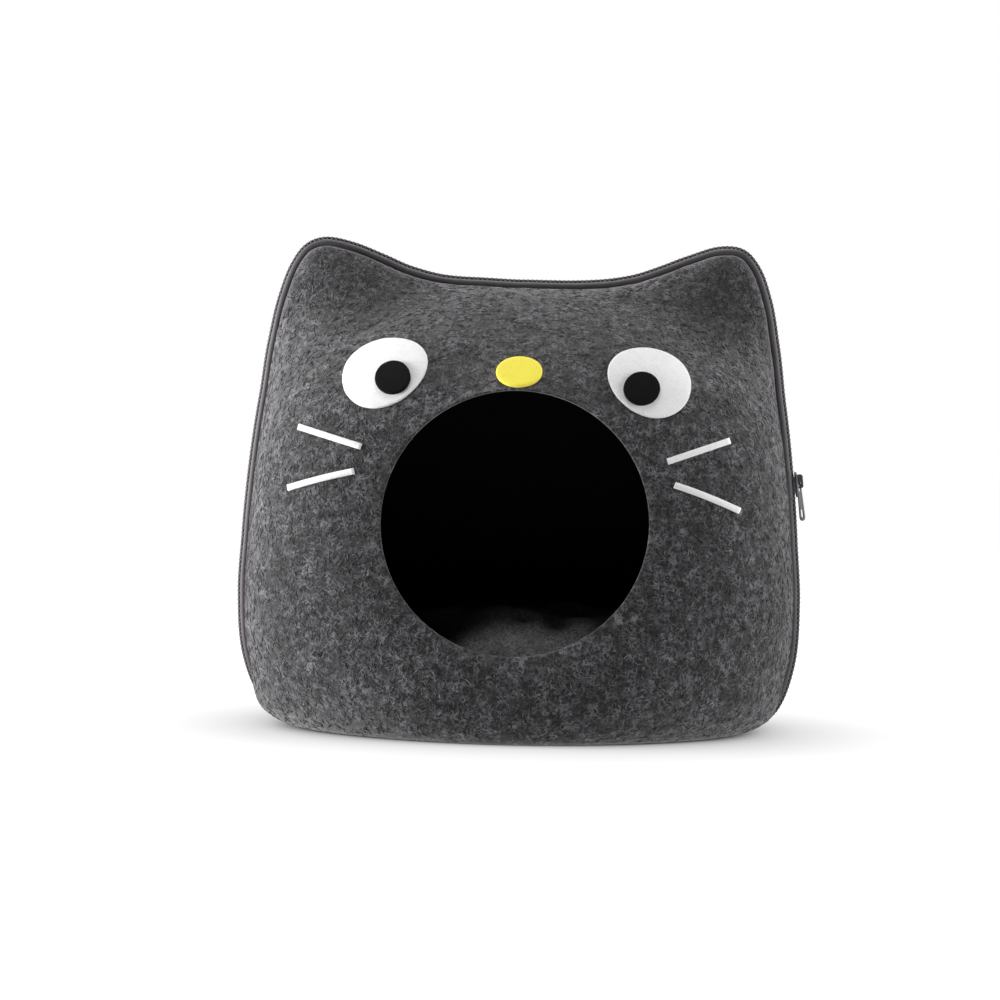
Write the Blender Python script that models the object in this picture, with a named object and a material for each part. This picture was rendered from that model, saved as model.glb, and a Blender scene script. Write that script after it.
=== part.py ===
"""Felt cat cave: two moulded half shells of felt that a zip joins all round, with a face sewn on the
front, a round entrance and a loose plush cushion inside. Written in millimetres, built in metres.
+X is the width, -Y the front, +Z up; the cave rests on z = 0."""

import math

import bmesh
import bpy
import numpy as np
from mathutils import Matrix, Vector
from mathutils.bvhtree import BVHTree

MM = 0.001

# Driving dimensions, in millimetres.
FELT = 3.5                 # thickness of the moulded felt
GAP = 0.3                  # between pieces that touch
MIDDLE_Z = 147.5           # height of the entrance's centre, and of the axis that the sections turn about
CENTRE = (-1.5, 0.0)       # the zip loop's middle, so that the part with its pull is centred on the origin
MOUTH_RADIUS = 89.2
MOUTH_X = 3.0              # the entrance sits a little to the right of the loop's middle
MOUTH_Y = -129.0           # depth of the entrance's centre
MOUTH_LEAN = 9.0           # the entrance leans back by this angle (degrees)
BACK_DEPTH = 147.9         # the back shell's deepest point
FELT_EDGE_Y = 7.5          # each shell stops this far from the middle plane
RIDGE = 7.0                # the zip stands this far proud of the felt's edge
SUNK = 0.6                 # on the floor the zip lies this far above the felt's underside
RIDGE_ENDS = (118.0, 133.0)  # turn, in degrees from straight up, over which the ridge sinks in
FLOOR_BLEND = 5.0          # rounding where the loop meets the floor

# One row for each section through the cave, by its turn from straight up to either side (degrees).
# left and right: the zip's outer line, from the axis. The others shape the section's curve, in mm:
# lip, the straight run forward at the zip; flat and flat_reach, how far from the axis and how far
# forward the flat of an ear ends; shoulder and reach, the same for the dome's shoulder; brow and back,
# the run of the face outside the entrance and how far back it leads; back_reach, the back's shoulder.
COLUMNS = ("turn", "left", "right", "lip", "flat", "flat_reach", "shoulder", "reach",
           "brow", "back", "back_reach")
SECTIONS = (
    (0.0, 169.0, 169.0, 13, 159, 30, 147, 56, 18, 20, 67),
    (10.0, 172.8, 171.4, 13, 161, 29, 148, 56, 22, 21, 66),
    (18.0, 180.7, 178.6, 13, 165, 26, 152, 55, 29, 23, 65),
    (24.0, 194.4, 189.6, 13, 170, 22, 157, 55, 36, 24, 65),
    (28.0, 210.4, 202.9, 14, 175, 19, 161, 56, 42, 24, 66),
    (32.0, 229.0, 221.3, 15, 180, 17, 166, 57, 48, 24, 68),
    (35.5, 242.5, 238.5, 15, 184, 16, 170, 59, 52, 23, 71),
    (39.0, 247.0, 247.6, 15, 188, 16, 174, 62, 54, 22, 74),
    (43.0, 243.2, 246.0, 15, 192, 18, 178, 66, 56, 20, 78),
    (48.0, 234.0, 236.9, 16, 196, 23, 181, 70, 57, 17, 83),
    (56.0, 219.0, 220.5, 18, 199, 36, 184, 76, 57, 14, 90),
    (66.0, 205.0, 205.7, 22, 194, 50, 184, 82, 57, 10, 96),
    (80.0, 197.0, 197.0, 26, 189, 58, 184, 88, 57, 8, 101),
    (94.0, 198.6, 198.4, 28, 191, 60, 188, 92, 58, 6, 104),
    (106.0, 208.4, 208.5, 28, 201, 61, 199, 93, 60, 3, 106),
    (118.0, 221.5, 223.0, 28, 213, 62, 211, 94, 61, 0, 108),
    (126.0, 225.5, 229.0, 28, 221, 64, 219, 98, 60, -3, 112),
    (136.0, 219.0, 223.0, 30, 210, 70, 215, 110, 56, -8, 122),
    (150.0, 212.0, 214.0, 38, 178, 90, 191, 140, 48, -12, 140),
    (165.0, 208.0, 208.0, 44, 160, 99, 175, 150, 43, -14, 150),
    (180.0, 206.0, 206.0, 46, 156, 101, 171, 152, 42, -14, 152),
)
LOWER_HALF = -0.2          # below this cosine of the turn the loop may meet the floor
BLEND_SPAN = 4.0           # a quadratic rounding spans four times its depth
NORMAL_STEP = 0.4          # turn to either side over which the loop's direction is taken
SHARP = 40.0               # facets that meet at more than this keep their edge (degrees)
STEPS_BETWEEN_ROWS = 2     # stations from one row of SECTIONS to the next
BACK_BROW = 108.0          # flat run of the back shell about its deepest point
FRONT_RUNS = 12            # facets from the zip to the entrance
BACK_RUNS = 13             # facets from the zip to the back's deepest point
RUN_EASE = 1.25            # crowds the facets towards the zip

# The tape's centre line, from under the felt to the coil: (y, out from the felt's edge) in mm, where the
# ridge stands proud and where it is sunk into the floor.
TAPE = 1.0
TAPE_UNDER = 4.5           # how far the tape runs on along the felt's inner face
TAPE_CLEAR = 0.7           # between the tape and the felt's inner face, where the ears turn tightly
TAPE_PROUD = ((7.6, -4.9), (6.3, -3.6), (6.2, 0.8), (5.2, 3.6), (3.0, 5.2))
TAPE_SUNK = ((7.6, -4.8), (6.2, -4.2), (5.2, -3.6), (4.2, -3.1), (3.0, -2.8))
COIL_HALF_WIDTH = 2.3
COIL_HEIGHT = 2.4
COIL_CORNERS = ((-1.0, -0.85), (0.0, -1.0), (1.0, -0.85), (1.0, -0.3),
                (0.45, 0.0), (-0.45, 0.0), (-1.0, -0.3))

# Face pieces, seen from the front: centre x and z, half length, half width, turn anticlockwise (degrees).
PIECE_COLUMNS = ("name", "x", "z", "half_length", "half_width", "turn", "egg")
EYE_WHITES = (
    ("eye_white_left", -89.0, 246.3, 30.2, 24.0, 22.0, -0.10),
    ("eye_white_right", 90.2, 242.2, 30.2, 24.0, -23.0, 0.10),
)
PUPILS = (
    ("pupil_left", -82.6, 243.4, 12.9, 11.8, 0.0, 0.0),
    ("pupil_right", 84.9, 238.8, 12.9, 11.8, 0.0, 0.0),
)
NOSES = (("nose", 3.3, 248.0, 15.6, 10.3, 1.0, 0.0),)
EYE_WHITE_THICK = 1.6
PUPIL_THICK = 2.6
NOSE_THICK = 2.0
WHISKER_THICK = 1.2
WHISKER_HALF_WIDTH = 2.4
# Whisker ends, seen from the front: name, x and z of the outer end, x and z of the inner end, bend up.
WHISKERS = (
    ("whisker_upper_left", -146.0, 208.5, -100.8, 195.8, 0.0),
    ("whisker_lower_left", -151.4, 167.1, -104.8, 179.5, 0.6),
    ("whisker_upper_right", 144.9, 204.0, 103.5, 189.4, 0.0),
    ("whisker_lower_right", 152.1, 157.3, 108.4, 174.1, 0.8),
)
PATCH_LIFT = 0.7           # air between a face piece and the facets under it

EYE_SHARES = (1.0, 0.66, 0.33)   # an eye white's rings, from its rim to its middle
DISC_SHARES = (1.0, 0.5)         # the same for a pupil and the nose
EYE_POINTS = 20
DISC_POINTS = 16
WHISKER_STEPS = 5
IN_FRONT = -400.0                # face pieces are laid on the felt from this far in front
FEEL = 5.0                       # the felt's slope is felt this far round a point

# The slider, at its height on the right side, and the pull that hangs from it.
SLIDER_Z = 173.5
SLIDER_TURNS = (60.0, 110.0)     # it is looked for between these turns
SLIDER_LENGTH = 21.0
SLIDER_HALF_WIDTH = 4.4
SLIDER_PLATE = 1.5
SLIDER_FLANGE = 1.2        # how far the flanges reach down beside the coil
BRIDGE_HALF_LENGTH = 6.0
BRIDGE_HEIGHT = 3.6
BRIDGE_WIDTH = 1.8
BRIDGE_BAR = 1.2
BRIDGE_ROOT = 0.5          # how deep the bridge's feet are set in the plate
SLIDER_ROUND = 2.6
SMALL_ROUND = 0.3
PULL_LENGTH = 27.0
PULL_WIDTH = 8.0
PULL_THICK = 1.3
PULL_ROUND = 2.4
PULL_TOP = 1.5             # its top stands this far above the bridge's middle
PULL_BAR = 1.8             # the bar that hangs in the bridge
PULL_EYE_LENGTH = 6.4
PULL_EYE_WIDTH = 3.2
PULL_HOLE_LENGTH = 8.0
PULL_HOLE_WIDTH = 3.2
PULL_HOLE_ROUND = 1.4
PULL_HOLE_FOOT = 3.0       # metal left below the hole
PULL_TILT = 6.0            # the hanging pull's lower end leans out (degrees)

# The cushion, a loose plush pad that fills the floor.
CUSHION_HALF_WIDTH = 146.0
CUSHION_FRONT = -121.0
CUSHION_REAR = 116.0
CUSHION_SEAM_Z = 34.0
CUSHION_BASE_Z = 5.8
CUSHION_TOP_Z = 90.0
CUSHION_SQUARENESS = 2.2   # 2 is an ellipse, more is squarer
CUSHION_POINTS = 40
# Rings from the underside up: share of the outline, and level (0 the base, 1 the seam, 2 the crown).
CUSHION_RINGS = ((0.86, 0.0), (0.965, 0.45), (1.0, 1.0), (0.985, 1.22), (0.93, 1.45), (0.80, 1.72),
                 (0.58, 1.90), (0.30, 1.98))

COLOURS = {                # base colour, roughness, metallic
    "felt_grey": ((0.085, 0.082, 0.087), 0.95, 0.0),
    "tape": ((0.060, 0.052, 0.060), 0.75, 0.0),
    "coil": ((0.030, 0.027, 0.030), 0.55, 0.0),
    "metal": ((0.050, 0.050, 0.055), 0.35, 0.8),
    "felt_white": ((0.860, 0.855, 0.845), 0.95, 0.0),
    "felt_black": ((0.012, 0.012, 0.012), 0.95, 0.0),
    "felt_yellow": ((0.900, 0.760, 0.080), 0.95, 0.0),
    "plush": ((0.160, 0.155, 0.160), 1.0, 0.0),
}


def section_value(column, turn):
    """A column of SECTIONS at any turn, on a smooth curve through its rows."""
    rows = [row[COLUMNS.index("turn")] for row in SECTIONS]
    values = [row[COLUMNS.index(column)] for row in SECTIONS]
    turn = abs((turn + 180.0) % 360.0 - 180.0)
    rows = [-rows[1]] + rows + [2 * rows[-1] - rows[-2]]
    values = [values[1]] + values + [values[-2]]
    index = max(1, min(len(rows) - 3, int(np.searchsorted(rows, turn, side="right")) - 1))
    width = rows[index + 1] - rows[index]
    step = (turn - rows[index]) / width
    slope_in = (values[index + 1] - values[index - 1]) / (rows[index + 1] - rows[index - 1]) * width
    slope_out = (values[index + 2] - values[index]) / (rows[index + 2] - rows[index]) * width
    return ((2 * step**3 - 3 * step**2 + 1) * values[index] + (step**3 - 2 * step**2 + step) * slope_in
            + (3 * step**2 - 2 * step**3) * values[index + 1] + (step**3 - step**2) * slope_out)


def blend(low, high, value):
    """0 below low, 1 above high, and a smooth step between them."""
    step = min(1.0, max(0.0, (value - low) / (high - low)))
    return step * step * (3.0 - 2.0 * step)


def coil_line(turn):
    """The zip's outer line at a turn, as (x, z) from the sections' axis, kept above the floor."""
    angle = math.radians(turn)
    radius = section_value("left" if turn < 0 else "right", turn)
    if math.cos(angle) < LOWER_HALF:
        floor = (MIDDLE_Z - SUNK) / -math.cos(angle)
        near = max(0.0, 1.0 - abs(radius - floor) / (BLEND_SPAN * FLOOR_BLEND))
        radius = min(radius, floor) - near * near * FLOOR_BLEND
    return np.array([radius * math.sin(angle), radius * math.cos(angle)])


def ridge_share(turn):
    """1 where the zip stands proud, 0 where it is sunk into the floor."""
    return 1.0 - blend(*RIDGE_ENDS, abs(turn))


def zip_frame(turn):
    """The felt's edge line at a turn as (x, z) in the world, and its outward normal."""
    ahead = coil_line(wrap(turn + NORMAL_STEP)) - coil_line(wrap(turn - NORMAL_STEP))
    normal = np.array([-ahead[1], ahead[0]]) / np.hypot(*ahead)
    share = ridge_share(turn)
    depth = RIDGE * share - SUNK * (1.0 - share)
    edge = coil_line(turn) - normal * depth + [0.0, MIDDLE_Z]
    edge[1] = max(edge[1], 0.0)
    return edge, normal


def wrap(turn):
    """A turn brought between straight down on the left (-180) and straight down on the right (180)."""
    return (turn + 180.0) % 360.0 - 180.0


def station_turns(steps=STEPS_BETWEEN_ROWS):
    """The turns of the stations round the loop, clockwise from straight down."""
    rows = [row[0] for row in SECTIONS]
    half = [a + (b - a) * k / steps for a, b in zip(rows, rows[1:]) for k in range(steps)]
    return [-turn for turn in reversed(half[1:])] + half + [rows[-1]]


def bezier(points, step):
    """A point on the Bezier curve of any number of control points."""
    points = np.array(points, float)
    while len(points) > 1:
        points = points[:-1] * (1 - step) + points[1:] * step
    return points[0]


def section_curve(turn, side):
    """Control points (x, y, z) of a section from the zip's felt edge to the entrance (side -1),
    or to the back's deepest point (side +1)."""
    row = {name: section_value(name, turn) for name in COLUMNS}
    angle, lean = math.radians(turn), math.radians(MOUTH_LEAN)
    outward = np.array([math.sin(angle), 0.0, math.cos(angle)])
    axis = np.array([0.0, 0.0, MIDDLE_Z])
    depth = np.array([0.0, side, 0.0])
    edge, _ = zip_frame(turn)
    start = np.array([edge[0], 0.0, edge[1]]) + depth * FELT_EDGE_Y
    if side < 0:
        mouth = np.array([outward[0], outward[2] * math.sin(lean), outward[2] * math.cos(lean)])
        end = [MOUTH_X, MOUTH_Y, MIDDLE_Z] + mouth * MOUTH_RADIUS
        face = end + outward * row["brow"] - depth * row["back"]
        reach = row["reach"]
    else:
        end = axis + depth * BACK_DEPTH
        face = end + outward * BACK_BROW
        reach = row["back_reach"]
    return [start, start + depth * row["lip"],
            axis + outward * row["flat"] + depth * row["flat_reach"],
            axis + outward * row["shoulder"] + depth * reach, face, end]


def shell_grid(turns, side, runs):
    """The outer face of a shell: a row of points for each station, from the zip inwards."""
    grid = []
    for turn in turns:
        curve = section_curve(turn, side)
        row = [bezier(curve, (run / runs) ** RUN_EASE) for run in range(runs + 1)]
        grid.append([[point[0], point[1], max(point[2], 0.0)] for point in row])
    return np.array(grid)


def grid_normals(grid, side, turns):
    """Unit normals of a grid that closes on itself along its first index, pointing out of the cave.
    At the zip they lie in the middle plane, so that the felt's cut edges face each other squarely."""
    around = np.roll(grid, -1, axis=0) - np.roll(grid, 1, axis=0)
    along = np.gradient(grid, axis=1)
    normals = np.cross(around, along) * side
    normals[:, 0] = [(normal[0], 0.0, normal[1]) for _, normal in map(zip_frame, turns)]
    return normals / np.maximum(np.linalg.norm(normals, axis=2, keepdims=True), 1e-9)


def material(slot):
    """The slot's Principled BSDF material, made once."""
    made = bpy.data.materials.get(slot)
    if made:
        return made
    colour, roughness, metallic = COLOURS[slot]
    made = bpy.data.materials.new(slot)
    made.use_nodes = True
    shader = made.node_tree.nodes["Principled BSDF"]
    shader.inputs["Base Color"].default_value = (*colour, 1.0)
    shader.inputs["Roughness"].default_value = roughness
    shader.inputs["Metallic"].default_value = metallic
    made.diffuse_color = (*colour, 1.0)
    return made


def add_object(name, points, faces, slot):
    """A mesh object in metres from points in millimetres, faces turned outwards."""
    mesh = bpy.data.meshes.new(name)
    mesh.from_pydata([tuple(float(c) * MM for c in point) for point in points], [], faces)
    mesh.validate()
    shape = bmesh.new()
    shape.from_mesh(mesh)
    bmesh.ops.recalc_face_normals(shape, faces=shape.faces[:])
    shape.to_mesh(mesh)
    shape.free()
    mesh.shade_smooth()
    mesh.set_sharp_from_angle(angle=math.radians(SHARP))
    made = bpy.data.objects.new(name, mesh)
    bpy.context.scene.collection.objects.link(made)
    mesh.materials.append(material(slot))
    return made


def ring_faces(rings, size, closed=False):
    """Quads between successive rings of size points; closed joins the last ring to the first."""
    faces = []
    for ring in range(rings if closed else rings - 1):
        for k in range(size):
            after = (k + 1) % size
            low, high = ring * size, (ring + 1) % rings * size
            faces.append((low + k, low + after, high + after, high + k))
    return faces


def add_shell(name, grid, side, turns, is_open):
    """A half shell: the outer grid, its inner face a felt's thickness inside, and the cut edges."""
    normals = grid_normals(grid, side, turns)
    if not is_open:
        normals[:, -1] = (0.0, side, 0.0)
    inner = grid - normals * FELT
    stations, runs = grid.shape[:2]
    if is_open:
        rings = [grid[:, run] for run in range(runs)] + [inner[:, run] for run in reversed(range(runs))]
        points = np.concatenate(rings)
        return add_object(name, points, ring_faces(len(rings), stations, closed=True), "felt_grey"), inner
    rings = [grid[:, run] for run in reversed(range(runs - 1))]
    rings += [inner[:, run] for run in range(runs - 1)]
    points = np.concatenate(rings + [grid[:1, -1], inner[:1, -1]])
    faces = ring_faces(len(rings), stations)
    poles = (len(points) - 2, len(points) - 1)
    last = (len(rings) - 1) * stations
    for k in range(stations):
        after = (k + 1) % stations
        faces.append((k, after, poles[0]))
        faces.append((last + k, last + after, poles[1]))
    return add_object(name, points, faces, "felt_grey"), inner


def tape_ring(turn, side, inner_row):
    """One section through a tape: its two faces, from under the felt out to the coil."""
    edge, normal = zip_frame(turn)
    share = ridge_share(turn)
    centre = []
    lengths = np.concatenate([[0.0], np.cumsum(np.linalg.norm(np.diff(inner_row, axis=0), axis=1))])
    away = inner_row[1] - inner_row[0]
    away = away / np.linalg.norm(away)
    side_on = np.array([normal[0], 0.0, normal[1]])
    inward = -side_on + away * np.dot(side_on, away)
    inward = inward / np.linalg.norm(inward)
    under = np.array([np.interp(TAPE_UNDER, lengths, inner_row[:, axis]) for axis in range(3)])
    centre.append(under + inward * (TAPE_CLEAR + TAPE / 2))
    for proud, sunk in zip(TAPE_PROUD, TAPE_SUNK):
        y, out = np.array(proud) * share + np.array(sunk) * (1 - share)
        centre.append(np.array([edge[0] + normal[0] * out, side * y, edge[1] + normal[1] * out]))
    centre = np.array(centre)
    along = np.gradient(centre, axis=0)
    across = np.array([-normal[1], 0.0, normal[0]])
    faces_out = np.cross(along, across) * -side
    faces_out = faces_out / np.linalg.norm(faces_out, axis=1, keepdims=True)
    outer = centre + faces_out * TAPE / 2
    hidden = centre - faces_out * TAPE / 2
    return np.concatenate([outer, hidden[::-1]])


def add_tape(name, turns, side, inner):
    rings = [tape_ring(turn, side, inner[k]) for k, turn in enumerate(turns)]
    faces = ring_faces(len(rings), len(rings[0]), closed=True)
    return add_object(name, np.concatenate(rings), faces, "tape")


def add_coil(turns):
    """The closed coil as one ring: a flattened section that follows the zip line."""
    rings = []
    for turn in turns:
        edge, normal = zip_frame(turn)
        share = ridge_share(turn)
        top = RIDGE * share - SUNK * (1 - share)
        ring = []
        for across, down in COIL_CORNERS:
            out = top + down * COIL_HEIGHT
            ring.append((edge[0] + normal[0] * out, across * COIL_HALF_WIDTH, edge[1] + normal[1] * out))
        rings.append(ring)
    faces = ring_faces(len(rings), len(rings[0]), closed=True)
    return add_object("zip_coil", np.concatenate(rings), faces, "coil")


def surface_point(tree, x, z):
    """The front shell's outer face where a line from the front meets it, and its smoothed normal."""
    hit = None
    normal = Vector((0.0, 0.0, 0.0))
    for dx, dz in ((0, 0), (FEEL, 0), (-FEEL, 0), (0, FEEL), (0, -FEEL)):
        place, facing, *_ = tree.ray_cast(Vector((x + dx, IN_FRONT, z + dz)), Vector((0.0, 1.0, 0.0)))
        if place is None:
            continue
        normal += facing
        if hit is None:
            hit = place
    return np.array(hit), np.array(normal.normalized())


def add_patch(name, rings_of_xz, thick, tree, slot):
    """A face piece that follows the felt: rings of (x, z) from the rim to the middle, the last one point."""
    outer, under = [], []
    for ring in rings_of_xz:
        for x, z in ring:
            place, normal = surface_point(tree, x, z)
            under.append(place + normal * PATCH_LIFT)
            outer.append(place + normal * (PATCH_LIFT + thick))
    size = len(rings_of_xz[0])
    rings = len(rings_of_xz) - 1
    count = len(outer)
    faces = ring_faces(rings, size)
    faces += [tuple(count + k for k in reversed(face)) for face in faces]
    last = (rings - 1) * size
    for k in range(size):
        after = (k + 1) % size
        faces.append((last + k, last + after, count - 1))
        faces.append((count + last + after, count + last + k, 2 * count - 1))
        faces.append((after, k, count + k, count + after))
    return add_object(name, outer + under, faces, slot)


def egg_rings(row, size, steps):
    """Rings of an egg-shaped piece from its row of the table, seen from the front."""
    piece = dict(zip(PIECE_COLUMNS, row))
    turn = math.radians(piece["turn"])
    rings = []
    for share in steps:
        ring = []
        for k in range(size):
            angle = 2 * math.pi * k / size
            along = piece["half_length"] * share * math.cos(angle)
            across = piece["half_width"] * share * math.sin(angle) * (1 + piece["egg"] * math.cos(angle))
            ring.append((piece["x"] + along * math.cos(turn) - across * math.sin(turn),
                         piece["z"] + along * math.sin(turn) + across * math.cos(turn)))
        rings.append(ring)
    return rings + [[(piece["x"], piece["z"])]]


def add_whisker(row, tree):
    """A narrow strip with square ends, laid along the felt between its two ends."""
    name, outer_x, outer_z, inner_x, inner_z, bend = row
    start, end = np.array([outer_x, outer_z]), np.array([inner_x, inner_z])
    along = (end - start) / np.linalg.norm(end - start)
    across = np.array([-along[1], along[0]])
    top, under = [], []
    for k in range(WHISKER_STEPS + 1):
        share = k / WHISKER_STEPS
        middle = start + (end - start) * share + [0.0, bend * 4 * share * (1 - share)]
        for hand in (-1, 1):
            x, z = middle + across * hand * WHISKER_HALF_WIDTH
            place, normal = surface_point(tree, x, z)
            under.append(place + normal * PATCH_LIFT)
            top.append(place + normal * (PATCH_LIFT + WHISKER_THICK))
    rings = []
    for k in range(WHISKER_STEPS + 1):
        rings += [top[2 * k], top[2 * k + 1], under[2 * k + 1], under[2 * k]]
    faces = ring_faces(WHISKER_STEPS + 1, 4) + [(3, 2, 1, 0), tuple(4 * WHISKER_STEPS + k for k in range(4))]
    return add_object(name, rings, faces, "felt_white")


def slider_frame():
    """The place on the coil's outer line at the slider's height, and the axes: across, up the zip, out."""
    turns = np.linspace(*SLIDER_TURNS, 501)
    heights = [zip_frame(turn)[0][1] for turn in turns]
    turn = float(turns[int(np.argmin(np.abs(np.array(heights) - SLIDER_Z)))])
    edge, normal = zip_frame(turn)
    place = edge + normal * RIDGE
    out = Vector((normal[0], 0.0, normal[1]))
    up = Vector((-normal[1], 0.0, normal[0]))
    across = Vector((0.0, 1.0, 0.0))
    frame = Matrix((across, up, out)).transposed().to_4x4()
    frame.translation = Vector((place[0], 0.0, place[1])) * MM
    return frame


def add_block(name, low, high, round_off, slot, segments=2):
    """A box from its low to its high corner with rounded edges, in the slider's own axes."""
    low, high = Vector(low), Vector(high)
    shape = bmesh.new()
    bmesh.ops.create_cube(shape, size=1.0)
    size = high - low
    for vertex in shape.verts:
        vertex.co = Vector(((low[i] + high[i]) / 2 + vertex.co[i] * size[i]) for i in range(3)) * MM
    upright = []
    for edge in shape.edges:
        if abs((edge.verts[0].co - edge.verts[1].co).z) > 0.5 * size.z * MM:
            upright.append(edge)
    bmesh.ops.bevel(shape, geom=upright, offset=round_off * MM, segments=segments, affect="EDGES",
                    profile=0.5)
    mesh = bpy.data.meshes.new(name)
    bmesh.ops.recalc_face_normals(shape, faces=shape.faces[:])
    shape.to_mesh(mesh)
    shape.free()
    made = bpy.data.objects.new(name, mesh)
    bpy.context.scene.collection.objects.link(made)
    mesh.materials.append(material(slot))
    return made


def combine(body, tool, operation):
    """A Boolean of body with a tool that stays hidden."""
    modifier = body.modifiers.new(operation.lower(), "BOOLEAN")
    modifier.operation = operation
    modifier.object = tool
    tool.hide_render = True
    tool.display_type = "WIRE"


def add_slider(frame):
    """The slider: a plate over the coil with a flange down each side, and the bridge that holds the pull."""
    half = SLIDER_HALF_WIDTH
    plate = add_block("zip_slider", (-half, -SLIDER_LENGTH / 2, -SLIDER_FLANGE),
                      (half, SLIDER_LENGTH / 2, GAP + SLIDER_PLATE), SLIDER_ROUND, "metal")
    channel = add_block("slider_channel", (-COIL_HALF_WIDTH - GAP, -SLIDER_LENGTH, -3 * SLIDER_FLANGE),
                        (COIL_HALF_WIDTH + GAP, SLIDER_LENGTH, GAP), SMALL_ROUND, "metal", segments=1)
    foot = GAP + SLIDER_PLATE
    top = foot + BRIDGE_HEIGHT
    bridge = add_block("slider_bridge", (-BRIDGE_WIDTH / 2, -BRIDGE_HALF_LENGTH, foot - BRIDGE_ROOT),
                       (BRIDGE_WIDTH / 2, BRIDGE_HALF_LENGTH, top), SMALL_ROUND, "metal", segments=1)
    window = add_block("bridge_window", (-BRIDGE_WIDTH, BRIDGE_BAR - BRIDGE_HALF_LENGTH, foot),
                       (BRIDGE_WIDTH, BRIDGE_HALF_LENGTH - BRIDGE_BAR, top - BRIDGE_BAR),
                       SMALL_ROUND, "metal", segments=1)
    combine(bridge, window, "DIFFERENCE")
    combine(plate, channel, "DIFFERENCE")
    combine(plate, bridge, "UNION")
    for piece in (plate, channel, bridge, window):
        piece.matrix_world = frame
    return plate


def add_pull(frame):
    """The pull: a flat tab whose top bar lies under the bridge, with a long hole near its foot."""
    low = GAP + SLIDER_PLATE + GAP
    cut = (-PULL_THICK, 2 * PULL_THICK)
    pull = add_block("zip_pull", (-PULL_WIDTH / 2, -PULL_LENGTH, 0.0),
                     (PULL_WIDTH / 2, 0.0, PULL_THICK), PULL_ROUND, "metal")
    eye = add_block("pull_eye", (-PULL_EYE_WIDTH / 2, -PULL_BAR - PULL_EYE_LENGTH, cut[0]),
                    (PULL_EYE_WIDTH / 2, -PULL_BAR, cut[1]), SMALL_ROUND, "metal", segments=1)
    hole_foot = PULL_HOLE_FOOT - PULL_LENGTH
    slot_hole = add_block("pull_hole", (-PULL_HOLE_WIDTH / 2, hole_foot, cut[0]),
                          (PULL_HOLE_WIDTH / 2, hole_foot + PULL_HOLE_LENGTH, cut[1]),
                          PULL_HOLE_ROUND, "metal")
    combine(pull, eye, "DIFFERENCE")
    combine(pull, slot_hole, "DIFFERENCE")
    tilt = Matrix.Rotation(math.radians(-PULL_TILT), 4, "X")
    hang = Matrix.Translation(Vector((0.0, PULL_TOP, low)) * MM) @ tilt
    for piece in (pull, eye, slot_hole):
        piece.matrix_world = frame @ hang
    return pull


def add_cushion():
    """The cushion: a plump crown over a drawn-in seam and a flat underside."""
    middle_y = (CUSHION_FRONT + CUSHION_REAR) / 2
    half_depth = (CUSHION_REAR - CUSHION_FRONT) / 2
    rings = []
    for share, level in CUSHION_RINGS:
        if level <= 1:
            z = CUSHION_BASE_Z + (CUSHION_SEAM_Z - CUSHION_BASE_Z) * level
        else:
            z = CUSHION_SEAM_Z + (CUSHION_TOP_Z - CUSHION_SEAM_Z) * (level - 1)
        ring = []
        for k in range(CUSHION_POINTS):
            angle = 2 * math.pi * k / CUSHION_POINTS
            c, s = math.cos(angle), math.sin(angle)
            power = CUSHION_SQUARENESS
            reach = share * (abs(c) ** power + abs(s) ** power) ** (-1 / power)
            ring.append((CUSHION_HALF_WIDTH * reach * c, middle_y + half_depth * reach * s, z))
        rings.append(ring)
    points = [point for ring in rings for point in ring]
    points.append((0.0, middle_y, CUSHION_TOP_Z))
    faces = ring_faces(len(rings), CUSHION_POINTS) + [tuple(range(CUSHION_POINTS))]
    last = (len(rings) - 1) * CUSHION_POINTS
    faces += [(last + k, last + (k + 1) % CUSHION_POINTS, len(points) - 1) for k in range(CUSHION_POINTS)]
    return add_object("cushion", points, faces, "plush")


def outer_tree(name):
    """A search tree over an object's faces, in millimetres."""
    mesh = bpy.data.objects[name].data
    points = [vertex.co / MM for vertex in mesh.vertices]
    return BVHTree.FromPolygons(points, [tuple(face.vertices) for face in mesh.polygons])


def build():
    for old in list(bpy.data.objects):
        bpy.data.objects.remove(old)
    turns = station_turns()
    _, front_inner = add_shell("front_shell", shell_grid(turns, -1, FRONT_RUNS), -1, turns, True)
    _, back_inner = add_shell("back_shell", shell_grid(turns, 1, BACK_RUNS), 1, turns, False)
    add_tape("zip_tape_front", turns, -1, front_inner)
    add_tape("zip_tape_back", turns, 1, back_inner)
    add_coil(turns)

    felt = outer_tree("front_shell")
    for row in EYE_WHITES:
        add_patch(row[0], egg_rings(row, EYE_POINTS, EYE_SHARES), EYE_WHITE_THICK, felt, "felt_white")
    for row, white in zip(PUPILS, EYE_WHITES):
        white_felt = outer_tree(white[0])
        add_patch(row[0], egg_rings(row, DISC_POINTS, DISC_SHARES), PUPIL_THICK, white_felt, "felt_black")
    for row in NOSES:
        add_patch(row[0], egg_rings(row, DISC_POINTS, DISC_SHARES), NOSE_THICK, felt, "felt_yellow")
    for row in WHISKERS:
        add_whisker(row, felt)
    frame = slider_frame()
    add_slider(frame)
    add_pull(frame)
    add_cushion()

    middle = bpy.data.objects.new("middle", None)
    bpy.context.scene.collection.objects.link(middle)
    for piece in list(bpy.data.objects):
        if piece is not middle:
            piece.parent = middle
    middle.location = (CENTRE[0] * MM, CENTRE[1] * MM, 0.0)


build()
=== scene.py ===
"""Felt cat cave: the looks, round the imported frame. Two moulded half shells of heathered felt, a folded
zip, a sewn-on face and a plush cushion. Shapes are in millimetres, in the cave's own axes (+X the width,
-Y the front, +Z up); meshes are made in metres."""

import math

import bmesh
import bpy
import numpy as np
from mathutils import Matrix, Vector, noise
from mathutils.bvhtree import BVHTree


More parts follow.
